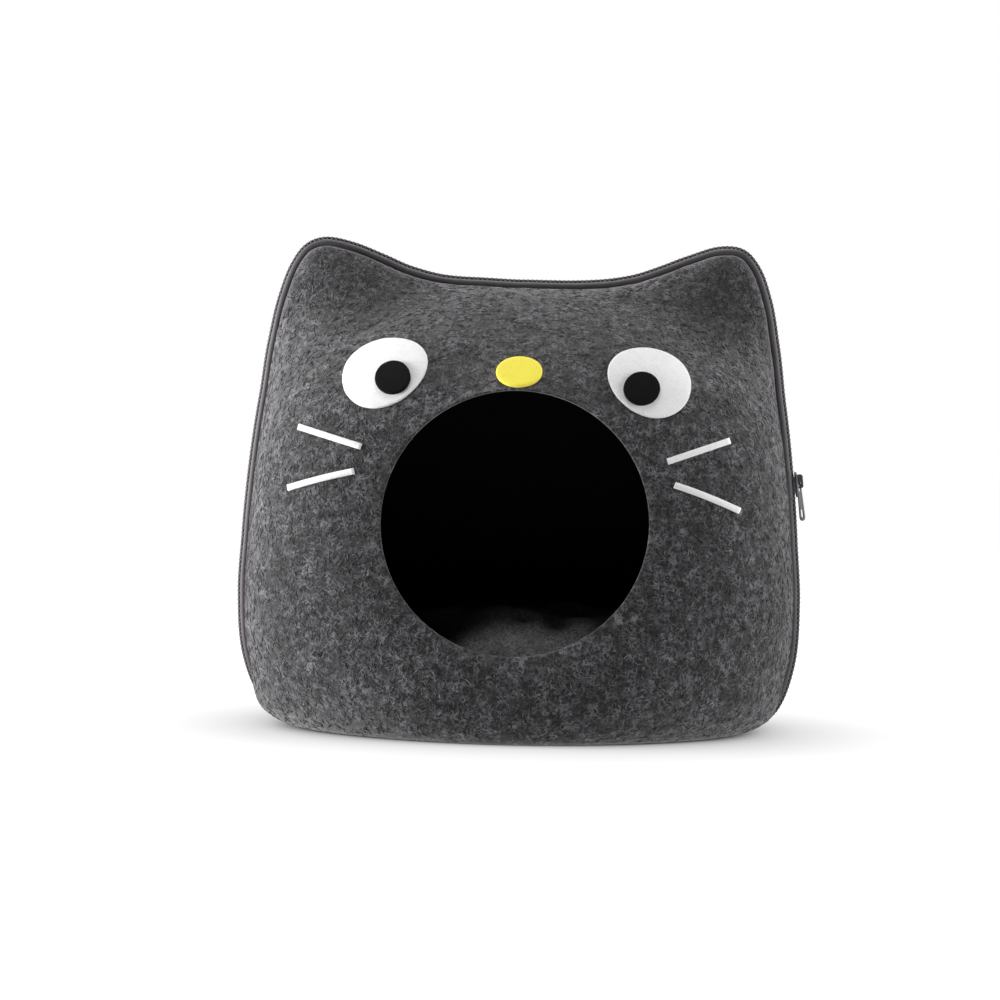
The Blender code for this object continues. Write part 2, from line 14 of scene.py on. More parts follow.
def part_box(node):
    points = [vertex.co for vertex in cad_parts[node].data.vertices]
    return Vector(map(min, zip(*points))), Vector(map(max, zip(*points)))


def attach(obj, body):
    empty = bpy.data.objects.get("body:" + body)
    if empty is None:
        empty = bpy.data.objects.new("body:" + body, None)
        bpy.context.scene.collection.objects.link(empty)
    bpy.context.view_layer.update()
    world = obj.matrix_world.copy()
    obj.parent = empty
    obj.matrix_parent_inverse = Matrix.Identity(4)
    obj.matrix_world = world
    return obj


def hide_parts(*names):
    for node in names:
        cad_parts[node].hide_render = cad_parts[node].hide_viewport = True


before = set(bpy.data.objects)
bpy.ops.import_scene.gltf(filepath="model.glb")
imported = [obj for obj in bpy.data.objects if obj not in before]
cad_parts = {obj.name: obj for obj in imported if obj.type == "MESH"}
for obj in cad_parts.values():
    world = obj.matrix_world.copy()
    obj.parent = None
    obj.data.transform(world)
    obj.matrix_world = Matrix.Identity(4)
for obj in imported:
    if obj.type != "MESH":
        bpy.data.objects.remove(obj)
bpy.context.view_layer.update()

MM = 0.001

# ---- the form, as in the solids
FELT = 3.5
MIDDLE_Z = 147.5
CENTRE = (-1.5, 0, 0)
MOUTH_RADIUS = 89.2
MOUTH_X = 3
MOUTH_Y = -129
MOUTH_LEAN = 9
BACK_DEPTH = 147.9
BACK_BROW = 108
FELT_EDGE_Y = 7.5
RIDGE = 7
SUNK = 0.6
RIDGE_ENDS = (118, 133)
FLOOR_BLEND = 5
BLEND_SPAN = 4
LOWER_HALF = -0.2
NORMAL_STEP = 0.4
TURN_STEPS = 8001

COLUMNS = ("turn", "left", "right", "lip", "flat", "flat_reach", "shoulder", "reach",
           "brow", "back", "back_reach")
SECTIONS = (
    (0, 169, 169, 13, 159, 30, 147, 56, 18, 20, 67),
    (10, 172.8, 171.4, 13, 161, 29, 148, 56, 22, 21, 66),
    (18, 180.7, 178.6, 13, 165, 26, 152, 55, 29, 23, 65),
    (24, 194.4, 189.6, 13, 170, 22, 157, 55, 36, 24, 65),
    (28, 210.4, 202.9, 14, 175, 19, 161, 56, 42, 24, 66),
    (32, 229, 221.3, 15, 180, 17, 166, 57, 48, 24, 68),
    (35.5, 242.5, 238.5, 15, 184, 16, 170, 59, 52, 23, 71),
    (39, 247, 247.6, 15, 188, 16, 174, 62, 54, 22, 74),
    (43, 243.2, 246, 15, 192, 18, 178, 66, 56, 20, 78),
    (48, 234, 236.9, 16, 196, 23, 181, 70, 57, 17, 83),
    (56, 219, 220.5, 18, 199, 36, 184, 76, 57, 14, 90),
    (66, 205, 205.7, 22, 194, 50, 184, 82, 57, 10, 96),
    (80, 197, 197, 26, 189, 58, 184, 88, 57, 8, 101),
    (94, 198.6, 198.4, 28, 191, 60, 188, 92, 58, 6, 104),
    (106, 208.4, 208.5, 28, 201, 61, 199, 93, 60, 3, 106),
    (118, 221.5, 223, 28, 213, 62, 211, 94, 61, 0, 108),
    (126, 225.5, 229, 28, 221, 64, 219, 98, 60, -3, 112),
    (136, 219, 223, 30, 210, 70, 215, 110, 56, -8, 122),
    (150, 212, 214, 38, 178, 90, 191, 140, 48, -12, 140),
    (165, 208, 208, 44, 160, 99, 175, 150, 43, -14, 150),
    (180, 206, 206, 46, 156, 101, 171, 152, 42, -14, 152),
)

# ---- how finely it is dressed
STATIONS = 480  # round the zip
RUNS = 60  # from the zip to the entrance, or to the back's middle
CURVE_STEPS = 200
SOFTEN = ((-4, 1 / 16), (-2, 4 / 16), (0, 6 / 16), (2, 4 / 16), (4, 1 / 16))
EDGE_SPOTS = (0, 0.35, 0.9, 1.6, 2.6, 4)  # mm from a cut edge, where the felt rounds over
ZIP_EDGE_ROUND = 3.1  # the felt's pressed edge beside the zip
MOUTH_EDGE_ROUND = 1.3
INNER_ROUND = 0.1
RIM_TURN = 9  # within this of the entrance, the felt's cut face turns to go straight in
FLOOR_SOFT = 2.6  # how softly the felt turns under at the floor
DENTS = ((58, 0.9), (21, 0.3))  # wavelength and depth of the felt's unevenness
RAGGED = ((17, 0.35), (4, 0.40))  # the same for its cut edge beside the zip
CUT_REACH = 7  # how far from the zip that is felt
# distances over which the unevenness comes up: from the zip, from the entrance and from the floor
CALM_ZIP, CALM_MOUTH, CALM_FLOOR = (0, 14), (0, 10), (2, 25)
FLAT_TURN = 6  # within this of the zip, the felt's thickness turns into the zip's plane
# where the ears rise, the front is pressed in: x, z, slope, half length, half width, depth
EAR_HOLLOWS = ((133, 277, -28, 38, 21, 6.5), (-106, 291, 25, 30, 20, 5))
# on the left the front is drawn in beside the zip, which shows there: how deep, and the heights and the
# distances from the zip over which that comes and goes
SIDE_DRAW = 3.4
SIDE_DRAW_HEIGHTS = (14, 48, 200, 285)
SIDE_DRAW_AWAY = (3, 20, 50, 105)
SEAM_Z = 163  # where the zip's ends meet, on the right, and the felt's edge steps out
SEAM_STEP = 1.1
SEAM_RISE = (164.5, 161.5)
SEAM_FADE = (50, 110)

ZIP_PITCH = 3.2
TAPE = 1  # its thickness
BAND_STEPS = 3
BAND_PROUD = ((11, -5.2), (8.8, -5.2), (7, -4.9), (5.7, -3.9), (5.3, -2.2), (5.6, -0.4), (6, 1.2),
              (5.7, 2.7), (4.7, 3.8), (3.5, 4.15), (2.7, 3.9))
BAND_SUNK = ((11, -5.2), (8.8, -5.2), (7.1, -5), (6.4, -4.7), (5.9, -4.4), (5.4, -4.1), (4.9, -3.9),
             (4.4, -3.6), (3.9, -3.4), (3.3, -3.2), (2.7, -3.1))


def wrap(turns):
    return (turns + 180.0) % 360.0 - 180.0


def column(name, turns):
    """A column of SECTIONS at each turn, on a smooth curve through its rows."""
    rows = np.array([row[0] for row in SECTIONS], float)
    values = np.array([row[COLUMNS.index(name)] for row in SECTIONS], float)
    rows = np.concatenate([[-rows[1]], rows, [2 * rows[-1] - rows[-2]]])
    values = np.concatenate([[values[1]], values, [values[-2]]])
    turns = np.abs(wrap(turns))
    at = np.clip(np.searchsorted(rows, turns, side="right") - 1, 1, len(rows) - 3)
    width = rows[at + 1] - rows[at]
    step = (turns - rows[at]) / width
    slope_in = (values[at + 1] - values[at - 1]) / (rows[at + 1] - rows[at - 1]) * width
    slope_out = (values[at + 2] - values[at]) / (rows[at + 2] - rows[at]) * width
    return ((2 * step**3 - 3 * step**2 + 1) * values[at] + (step**3 - 2 * step**2 + step) * slope_in
            + (3 * step**2 - 2 * step**3) * values[at + 1] + (step**3 - step**2) * slope_out)


def eased(name, turns):
    """A column, evened out over a few degrees, so that no rows show."""
    return sum(column(name, turns + shift) * weight for shift, weight in SOFTEN)


def smooth_step(low, high, value):
    step = np.clip((value - low) / (high - low), 0.0, 1.0)
    return step * step * (3.0 - 2.0 * step)


def coil_line(turns):
    """The zip's outer line, as (x, z) from the sections' axis, kept above the floor."""
    angle = np.radians(turns)
    radius = np.where(turns < 0, column("left", turns), column("right", turns))
    drop = -np.minimum(np.cos(angle), LOWER_HALF)
    floor = (MIDDLE_Z - SUNK) / drop
    near = np.clip(1.0 - np.abs(radius - floor) / (BLEND_SPAN * FLOOR_BLEND), 0.0, 1.0)
    low = np.minimum(radius, floor) - near * near * FLOOR_BLEND
    radius = np.where(np.cos(angle) < LOWER_HALF, low, radius)
    return np.stack([radius * np.sin(angle), radius * np.cos(angle)], axis=-1)


def ridge_share(turns):
    """1 where the zip stands proud, 0 where it is sunk into the floor."""
    return 1.0 - smooth_step(*RIDGE_ENDS, np.abs(turns))


def zip_top(turns):
    """How far the zip's crest stands out from the felt's edge."""
    share = ridge_share(turns)
    return RIDGE * share - SUNK * (1.0 - share)


def unit(vectors):
    return vectors / np.linalg.norm(vectors, axis=-1, keepdims=True)


def zip_frame(turns):
    """The felt's edge line, in the middle plane, and its outward normals."""
    ahead = coil_line(wrap(turns + NORMAL_STEP)) - coil_line(wrap(turns - NORMAL_STEP))
    normal = unit(np.stack([-ahead[:, 1], ahead[:, 0]], axis=1))
    edge = coil_line(turns) - normal * zip_top(turns)[:, None] + [0.0, MIDDLE_Z]
    edge[:, 1] = np.maximum(edge[:, 1], 0.0)
    return np.insert(edge, 1, 0.0, axis=1), np.insert(normal, 1, 0.0, axis=1)


def distances(line):
    """How far along a line each of its points is."""
    return np.concatenate([[0.0], np.cumsum(np.linalg.norm(np.diff(line, axis=0), axis=1))])


def even_turns(count):
    """Turns from straight down, clockwise, at even distances along the zip, and its length."""
    turns = np.linspace(-180.0, 180.0, TURN_STEPS)
    along = distances(coil_line(turns))
    return np.interp(np.linspace(0.0, along[-1], count + 1)[:-1], along, turns), along[-1]


def section_points(turns, side):
    """Each section's control points, from the zip to the entrance (-1) or the back's middle (+1)."""
    values = {name: eased(name, turns)[:, None] for name in COLUMNS}
    angle, lean = np.radians(turns), math.radians(MOUTH_LEAN)
    outward = np.stack([np.sin(angle), np.zeros_like(angle), np.cos(angle)], axis=1)
    axis, depth = np.array([0.0, 0.0, MIDDLE_Z]), np.array([0.0, side, 0.0])
    start = zip_frame(turns)[0] + depth * FELT_EDGE_Y
    if side < 0:
        mouth = outward[:, [0, 2, 2]] * [1.0, math.sin(lean), math.cos(lean)]
        end = np.array([MOUTH_X, MOUTH_Y, MIDDLE_Z]) + mouth * MOUTH_RADIUS
        face = end + outward * values["brow"] - depth * values["back"]
        reach = values["reach"]
    else:
        end = np.broadcast_to(axis + depth * BACK_DEPTH, start.shape)
        face = end + outward * BACK_BROW
        reach = values["back_reach"]
    return np.stack([start, start + depth * values["lip"],
                     axis + outward * values["flat"] + depth * values["flat_reach"],
                     axis + outward * values["shoulder"] + depth * reach, face, end], axis=1)


def shell_grid(turns, side):
    """A half shell's outer face, a row for each turn, and how far its points are from both edges."""
    steps = np.linspace(0.0, 1.0, CURVE_STEPS + 1)[None, :, None, None]
    points = section_points(turns, side)[:, None]
    while points.shape[2] > 1:
        points = points[:, :, :-1] * (1 - steps) + points[:, :, 1:] * steps
    curves = points[:, :, 0]
    raw = curves[:, :, 2]
    curves[:, :, 2] = (0.5 * (raw + np.sqrt(raw**2 + FLOOR_SOFT**2))
                       - FLOOR_SOFT**2 / (4 * np.maximum(raw, FLOOR_SOFT)))
    edge = np.array(EDGE_SPOTS)
    grid, from_zip, from_end = [], [], []
    for curve in curves:
        along = distances(curve)
        middle = np.linspace(edge[-1], along[-1] - edge[-1], RUNS + 1)
        spots = np.concatenate([edge[:-1], middle, along[-1] - edge[-2::-1]])
        grid.append(np.stack([np.interp(spots, along, curve[:, k]) for k in range(3)], axis=1))
        from_zip.append(spots)
        from_end.append(along[-1] - spots)
    return np.array(grid), np.array(from_zip), np.array(from_end)


def grid_normals(grid, side):
    around = np.roll(grid, -1, axis=0) - np.roll(grid, 1, axis=0)
    along = np.gradient(grid, axis=1)
    normals = np.cross(around, along) * side
    return normals / np.maximum(np.linalg.norm(normals, axis=2, keepdims=True), 1e-9)


def uneven(points, table, seed):
    """A smooth unevenness at each point, from a table of wavelengths and depths."""
    flat, shift = points.reshape(-1, 3), Vector((seed, seed, seed))
    total = np.zeros(len(flat))
    for wavelength, depth in table:
        total += depth * np.array([noise.noise(Vector(p) / wavelength + shift) for p in flat])
    return total.reshape(points.shape[:-1])


def ear_hollows(points):
    """How far the front is pressed in at each point, where an ear rises from the brow."""
    total = np.zeros(points.shape[:-1])
    for x, z, slope, half_length, half_width, depth in EAR_HOLLOWS:
        angle = math.radians(slope)
        across, up = points[..., 0] - x, points[..., 2] - z
        along = across * math.cos(angle) + up * math.sin(angle)
        aside = up * math.cos(angle) - across * math.sin(angle)
        total += depth * np.exp(-0.5 * ((along / half_length)**2 + (aside / half_width)**2))
    return total


def side_draw(points, from_zip):
    """How far the front felt is drawn in beside the zip, on the left."""
    low, low_full, high_full, high = SIDE_DRAW_HEIGHTS
    start, full, fading, gone = SIDE_DRAW_AWAY
    height = smooth_step(low, low_full, points[..., 2]) * smooth_step(high, high_full, points[..., 2])
    away = smooth_step(start, full, from_zip) * smooth_step(gone, fading, from_zip)
    return np.where(points[..., 0] < 0, SIDE_DRAW * height * away, 0.0)


# ---- meshes
def add_object(name, data):
    made = bpy.data.objects.new(name, data)
    bpy.context.scene.collection.objects.link(made)
    return made


def add_mesh(name, points, faces, material):
    """A smooth mesh in metres from points in millimetres in the cave's axes."""
    mesh = bpy.data.meshes.new(name)
    points = (np.asarray(points, float).reshape(-1, 3) + CENTRE) * MM
    mesh.from_pydata(points.tolist(), [], faces.tolist() if isinstance(faces, np.ndarray) else faces)
    mesh.validate()
    mesh.shade_smooth()
    mesh.materials.append(material)
    return add_object(name, mesh)


def ring_faces(rings, size, closed=False):
    """Quads between successive rings of size points; closed joins the last ring to the first."""
    ring = np.arange(rings if closed else rings - 1)[:, None]
    k = np.arange(size)[None, :]
    low, high = ring * size, (ring + 1) % rings * size
    after = (k + 1) % size
    return np.stack([low + k, low + after, high + after, high + k], axis=-1).reshape(-1, 4)


def fan(first, size, tip):
    """Triangles from a ring of size points to a tip."""
    return [(first + k, first + (k + 1) % size, tip) for k in range(size)]


def turn_out(made):
    shape = bmesh.new()
    shape.from_mesh(made.data)
    bmesh.ops.recalc_face_normals(shape, faces=shape.faces[:])
    shape.to_mesh(made.data)
    shape.free()
    return made


def add_rings(name, points, material, closed=False, ends=False):
    """Like forms, each a row of rings, from an array (forms, rings, points in a ring, 3). Closed joins a
    form's last ring to its first; ends gives it a face at each end."""
    forms, rings, size = points.shape[:3]
    faces = ring_faces(rings, size, closed).tolist()
    if ends:
        faces += [list(range(size))[::-1], list(range((rings - 1) * size, rings * size))]
    faces = [[corner + k * rings * size for corner in face] for k in range(forms) for face in faces]
    return turn_out(add_mesh(name, points, faces, material))


def add_skin(name, rings, tips, material):
    """A closed form from rings of points, with a tip beyond the first ring and one beyond the last."""
    count, size = len(rings), len(rings[0])
    faces = ring_faces(count, size).tolist() + fan(0, size, count * size)
    faces += fan((count - 1) * size, size, count * size + 1)
    return turn_out(add_mesh(name, np.concatenate([*rings, tips]), faces, material))


def dress(piece, slot, *nodes):
    """Puts a finished piece on the frame."""
    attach(piece, "root")
    if nodes:
        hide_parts(*nodes)
    return piece


# ---- materials
MIX_A, MIX_B, MIX_RESULT = 6, 7, 2  # a Mix node's sockets for colours


class Paint:
    """A material, with short ways to add the nodes that fabrics need."""

    def __init__(self, name, roughness=0.9, metallic=0.0):
        self.material = bpy.data.materials.new(name)
        self.material.use_nodes = True
        self.tree = self.material.node_tree
        self.shader = self.tree.nodes["Principled BSDF"]
        self.shader.inputs["Roughness"].default_value = roughness
        self.shader.inputs["Metallic"].default_value = metallic
        self.place = self.vector("MULTIPLY", self.add("TexCoord").outputs["Object"], (1 / MM,) * 3)

    def add(self, kind, inputs=None, **settings):
        node = self.tree.nodes.new("ShaderNode" + kind)
        for key, value in settings.items():
            setattr(node, key, value)
        for key, value in (inputs or {}).items():
            if isinstance(value, bpy.types.NodeSocket):
                self.tree.links.new(value, node.inputs[key])
            else:
                node.inputs[key].default_value = value
        return node

    def vector(self, operation, a, b):
        return self.add("VectorMath", {0: a, 1: b}, operation=operation).outputs[0]

    def maths(self, operation, a, b):
        return self.add("Math", {0: a, 1: b}, operation=operation).outputs[0]

    def times(self, a, b):
        return self.maths("MULTIPLY", a, b)

    def scaled(self, colour, share):
        return self.add("VectorMath", {0: colour, "Scale": share}, operation="SCALE").outputs[0]

    def depth(self):
        """How far behind the middle plane a place is, in mm."""
        return self.add("SeparateXYZ", {"Vector": self.place}).outputs["Y"]

    def noise(self, size, detail=2.0, shift=0.0, place=None, output="Fac"):
        """A cloudy value from 0 to 1, with features of about size mm."""
        spot = self.vector("ADD", place or self.place, (shift,) * 3)
        return self.add("TexNoise", {"Vector": spot, "Scale": 1 / size, "Detail": detail}).outputs[output]

    def warp(self, size, reach):
        """The place, pushed about by reach mm in swirls of about size mm."""
        push = self.vector("SUBTRACT", self.noise(size, 1.0, 31.0, output="Color"), (0.5,) * 3)
        return self.vector("ADD", self.place, self.vector("MULTIPLY", push, (2 * reach,) * 3))

    def span(self, value, low, high, to_low=0.0, to_high=1.0):
        """From to_low to to_high, smoothly, as a value goes from low to high."""
        return self.add("MapRange", {"Value": value, "From Min": low, "From Max": high, "To Min": to_low,
                                     "To Max": to_high}, interpolation_type="SMOOTHSTEP").outputs[0]

    def line(self, size, width, shift, place):
        """1 along thin curly lines: the places where a noise crosses its middle value."""
        off = self.maths("SUBTRACT", self.noise(size, 1.0, shift, place), 0.5)
        return self.span(self.maths("ABSOLUTE", off, 0.0), 0.0, width, 1.0, 0.0)

    def mix(self, share, a, b):
        a, b = ((*value, 1.0) if isinstance(value, tuple) else value for value in (a, b))
        return self.add("Mix", {0: share, MIX_A: a, MIX_B: b}, data_type="RGBA").outputs[MIX_RESULT]

    def colour(self, value):
        self.tree.links.new(value, self.shader.inputs["Base Color"])

    def bump(self, height, distance, strength=1.0):
        """Relief of distance mm from a height from 0 to 1."""
        bump = self.add("Bump", {"Height": height, "Distance": distance * MM, "Strength": strength})
        self.tree.links.new(bump.outputs["Normal"], self.shader.inputs["Normal"])

    def finish(self, sheen, sheen_roughness=0.5, gloss=0.5):
        """The fuzz that glows at a slant, and how much light the surface mirrors."""
        self.shader.inputs["Sheen Weight"].default_value = sheen
        self.shader.inputs["Sheen Roughness"].default_value = sheen_roughness
        self.shader.inputs["Specular IOR Level"].default_value = gloss


FELT_DARK = (0.0036, 0.0033, 0.0039)
FELT_MID = (0.0238, 0.0225, 0.0250)
FELT_LIGHT = (0.167, 0.159, 0.171)
FELT_EDGE = (0.071, 0.068, 0.073)
PRESSED_BESIDE = (9.5, 13.5)  # mm from the middle plane, where the felt is pressed smooth and plain
PRESSED_SHARE = (0.6, 0)
BLOTCHES = (0.56, 1.16)  # how dark and light the felt's patches are
# painted shade: the felt is painted darker on the ears' fronts, where the hollows lie in shade: x, y, z,
# and how dark
PAINTED_EAR_SHADES = ((134, -30, 294, 0.60), (-118, -25, 306, 0.84))
PAINTED_EAR_SHADE_REACH = (16, 58)


def blotches_and_painted_ear_shade(paint, colour):
    """A colour, darker and lighter in patches, the same on felt and fibres, and painted darker on the
    ears' fronts as painted shade.
    """
    patches = paint.noise(6.5, 2.0, 55.0)
    share = paint.span(patches, 0.36, 0.64, *BLOTCHES)
    # painted shade: each ear's front is painted darker, fading out with distance from its spot
    for *spot, shade in PAINTED_EAR_SHADES:
        away = paint.add("VectorMath", {0: paint.place, 1: spot}, operation="DISTANCE").outputs["Value"]
        share = paint.times(share, paint.span(away, *PAINTED_EAR_SHADE_REACH, shade, 1.0))
    return paint.scaled(colour, share)


def grey_felt():
    """Charcoal felt: pale curly fibres over dark pits, pressed smooth by the zip."""
    paint = Paint("grey_felt", 0.95)
    place = paint.warp(4.0, 1.8)
    clouds = paint.maths("ADD", paint.times(paint.noise(30.0, 3.0), 0.4),
                         paint.times(paint.noise(9.0, 2.0, 9.0), 0.6))
    pits = paint.noise(2.6, 1.0, 3.0, place)
    ground = paint.mix(paint.span(pits, 0.40, 0.60), FELT_DARK, FELT_MID)
    fibres = None
    for size, width, shift in ((4.2, 0.075, 5.0), (3.3, 0.078, 17.0), (5.4, 0.062, 41.0)):
        line = paint.line(size, width, shift, place)
        patch = paint.span(paint.noise(5.5, 1.0, shift + 2.0), 0.38, 0.60, 0.05, 1.0)
        line = paint.times(line, patch)
        fibres = line if fibres is None else paint.maths("MAXIMUM", fibres, line)
    fibres = paint.times(fibres, paint.span(clouds, 0.36, 0.64, 0.35, 1.0))
    colour = blotches_and_painted_ear_shade(paint, paint.mix(fibres, ground, FELT_LIGHT))
    pressed = paint.span(paint.maths("ABSOLUTE", paint.depth(), 0.0), *PRESSED_BESIDE, *PRESSED_SHARE)
    paint.colour(paint.mix(pressed, colour, FELT_EDGE))
    relief = paint.maths("ADD", paint.times(fibres, 0.5), paint.times(pits, 0.8))
    paint.bump(relief, 0.5, 0.56)
    paint.finish(0.24, 0.6, 0.25)
    return paint.material


def loose_fibre():
    """The pale fibres on the felt, each a little lighter or darker than the next."""
    paint = Paint("loose_fibre", 0.9)
    clouds = paint.noise(2.6, 1.0, 12.0)
    colour = paint.mix(paint.span(clouds, 0.38, 0.64), (0.028, 0.027, 0.029), (0.166, 0.158, 0.170))
    paint.colour(blotches_and_painted_ear_shade(paint, colour))
    paint.bump(paint.noise(0.5, 1.0), 0.1, 0.4)
    return paint.material


def inner_painted_shade():
    # painted shade: the inner face is painted near black, for the shade inside the cave
    paint = Paint("inner_painted_shade", 1.0)
    grain = paint.noise(1.6, 3.0)
    paint.colour(paint.mix(paint.span(grain, 0.35, 0.7), (0.0012, 0.0012, 0.0012), (0.003, 0.003, 0.003)))
    paint.bump(grain, 0.3)
    return paint.material


def flat_felt(name, colour, dark, sheen=0.1, gloss=0.5):
    paint = Paint(name, 0.95)
    grain = paint.noise(0.9, 3.0, place=paint.warp(2.0, 0.8))
    clouds = paint.noise(6.0, 2.0, 4.0)
    share = paint.times(paint.span(grain, 0.3, 0.6, 1.0, 0.0), paint.span(clouds, 0.3, 0.7, 0.4, 1.0))
    paint.colour(paint.mix(share, colour, dark))
    paint.bump(grain, 0.12, 0.7)
    paint.finish(sheen, gloss=gloss)
    return paint.material


def zip_cloth():
    paint = Paint("zip_cloth", 0.62)
    weave = paint.noise(0.55, 2.0)
    clouds = paint.noise(12.0, 2.0, 8.0)
    colour = paint.mix(paint.span(clouds, 0.3, 0.7), (0.047, 0.039, 0.047), (0.064, 0.054, 0.063))
    paint.colour(paint.mix(paint.span(weave, 0.35, 0.65, 0.0, 0.35), colour, (0.030, 0.026, 0.031)))
    paint.bump(weave, 0.08, 0.6)
    paint.finish(0.15, 0.4)
    return paint.material


def plain(name, colour, other, roughness, metallic=0.0, size=2.0, relief=0.03):
    """A plain hard material that varies a little over its surface."""
    paint = Paint(name, roughness, metallic)
    clouds = paint.noise(size, 3.0)
    paint.colour(paint.mix(paint.span(clouds, 0.3, 0.7), colour, other))
    paint.bump(clouds, relief, 0.5)
    return paint.material


PLUSH_PAINTED_LIGHT_SPAN = (-107, -76)  # painted light and shade: the plush is painted paler near the entrance, where light falls in, and darker deeper inside: from and to, along Y
PLUSH_PAINTED_LIGHT_SHARES = (1.45, 0.40)


def plush_cloth():
    paint = Paint("plush_cloth", 1.0)
    place = paint.warp(4.0, 2.0)
    tufts = paint.noise(1.5, 3.0, 0.0, place)
    clouds = paint.noise(11.0, 3.0, 6.0)
    colour = paint.mix(paint.span(clouds, 0.3, 0.7), (0.25, 0.243, 0.252), (0.41, 0.400, 0.413))
    colour = paint.mix(paint.span(tufts, 0.35, 0.65, 0.0, 0.8), (0.12, 0.117, 0.121), colour)
    # painted light: paler towards the entrance and darker deeper in, along Y
    paint.colour(paint.scaled(colour, paint.span(paint.depth(), *PLUSH_PAINTED_LIGHT_SPAN, *PLUSH_PAINTED_LIGHT_SHARES)))
    paint.bump(tufts, 0.7, 0.7)
    paint.finish(0.06, 0.5, 0.2)
    return paint.material


# ---- the felt shells
def rounded_over(near, radius):
    """How far the felt's face drops near a cut edge."""
    left = np.clip(radius - near, 0.0, radius)
    return radius - np.sqrt(radius**2 - left**2)


def seam_step(edge):
    """How far the felt's edge stands out below where the zip's ends meet."""
    share = smooth_step(*SEAM_RISE, edge[:, 2]) * smooth_step(*SEAM_FADE, edge[:, 2])
    return np.where(edge[:, 0] > 0, SEAM_STEP * share, 0.0)


def felt_faces(turns, side, seed):
    """A half shell's outer and inner faces, uneven, with rounded cut edges, and its normals."""
    grid, from_zip, from_end = shell_grid(turns, side)
    in_plane = zip_frame(turns)[1][:, None]
    normals = grid_normals(grid, side)
    share = smooth_step(0.0, FLAT_TURN, from_zip)[..., None]
    normals = normals * share + in_plane * (1 - share)
    if side > 0:
        normals[:, -1] = (0.0, side, 0.0)
    else:
        lean = math.radians(MOUTH_LEAN)
        share = smooth_step(0.0, RIM_TURN, from_end)[..., None]
        normals = normals * share + np.array([0.0, -math.cos(lean), math.sin(lean)]) * (1 - share)
    normals = unit(normals)
    calm = smooth_step(*CALM_ZIP, from_zip) * smooth_step(*CALM_FLOOR, grid[..., 2])
    calm *= smooth_step(*CALM_MOUTH, from_end) if side < 0 else 1.0
    press = ear_hollows(grid) if side < 0 else 0.0
    grid = grid + normals * ((uneven(grid, DENTS, seed) - press) * calm)[..., None]
    if side < 0:
        grid = grid - in_plane * side_draw(grid, from_zip)[..., None]
    cut = uneven(grid[:, 0], RAGGED, seed + 3.0) + seam_step(grid[:, 0])
    grid = grid + in_plane * (cut[:, None] * smooth_step(CUT_REACH, 0.0, from_zip))[..., None]
    over = rounded_over(from_zip, ZIP_EDGE_ROUND)
    if side < 0:
        over = over + rounded_over(from_end, MOUTH_EDGE_ROUND)
    outer = grid - normals * over[..., None]
    inner = grid - normals * (FELT - over * INNER_ROUND)[..., None]
    outer[..., 2] = np.maximum(outer[..., 2], 0.0)
    return outer, inner, normals


def add_shell(name, outer, inner, is_open, materials):
    """A half shell's felt, with its inner face, away from the edges, in the second material, which is
    painted near black as painted shade.
    """
    stations, runs = outer.shape[:2]
    if not is_open:
        runs -= 1  # the last column is the tip
    out, back = ([face[:, run] for run in range(runs)] for face in (outer, inner))
    if is_open:
        made = add_rings(name, np.array([out + back[::-1]]), materials[0], closed=True)
    else:
        made = add_skin(name, out[::-1] + back, (outer[0, -1], inner[0, -1]), materials[0])
    made.data.materials.append(materials[1])
    split, deep = runs * stations, stations * 3
    for face in made.data.polygons:
        first = min(face.vertices)
        if split + deep <= first < 2 * split - deep or (not is_open and first >= split + deep):
            face.material_index = 1
    return made


FIBRES = 10500  # on each shell
FIBRE_POINTS = 5
FIBRE_STEP = (1.10, 2.00)  # mm, shortest and longest
FIBRE_WIDTH = (0.48, 0.84)
FIBRE_CURL = 0.55  # how much its heading turns at each step, in radians
FIBRE_LIFT = 0.16
FIBRE_CROWN = 0.38  # its height, as a share of its width
FIBRE_FLOOR = 2.5  # no fibres lower than this


def sample(grid, u, v):
    """A grid of points or directions at fractional rows u and columns v."""
    row, col = np.floor(u).astype(int), np.clip(np.floor(v).astype(int), 0, grid.shape[1] - 2)
    over_u, over_v = (u - row)[:, None], (v - col)[:, None]
    row, after = row % grid.shape[0], (row + 1) % grid.shape[0]
    low = grid[row, col] * (1 - over_v) + grid[row, col + 1] * over_v
    high = grid[after, col] * (1 - over_v) + grid[after, col + 1] * over_v
    return low * (1 - over_u) + high * over_u


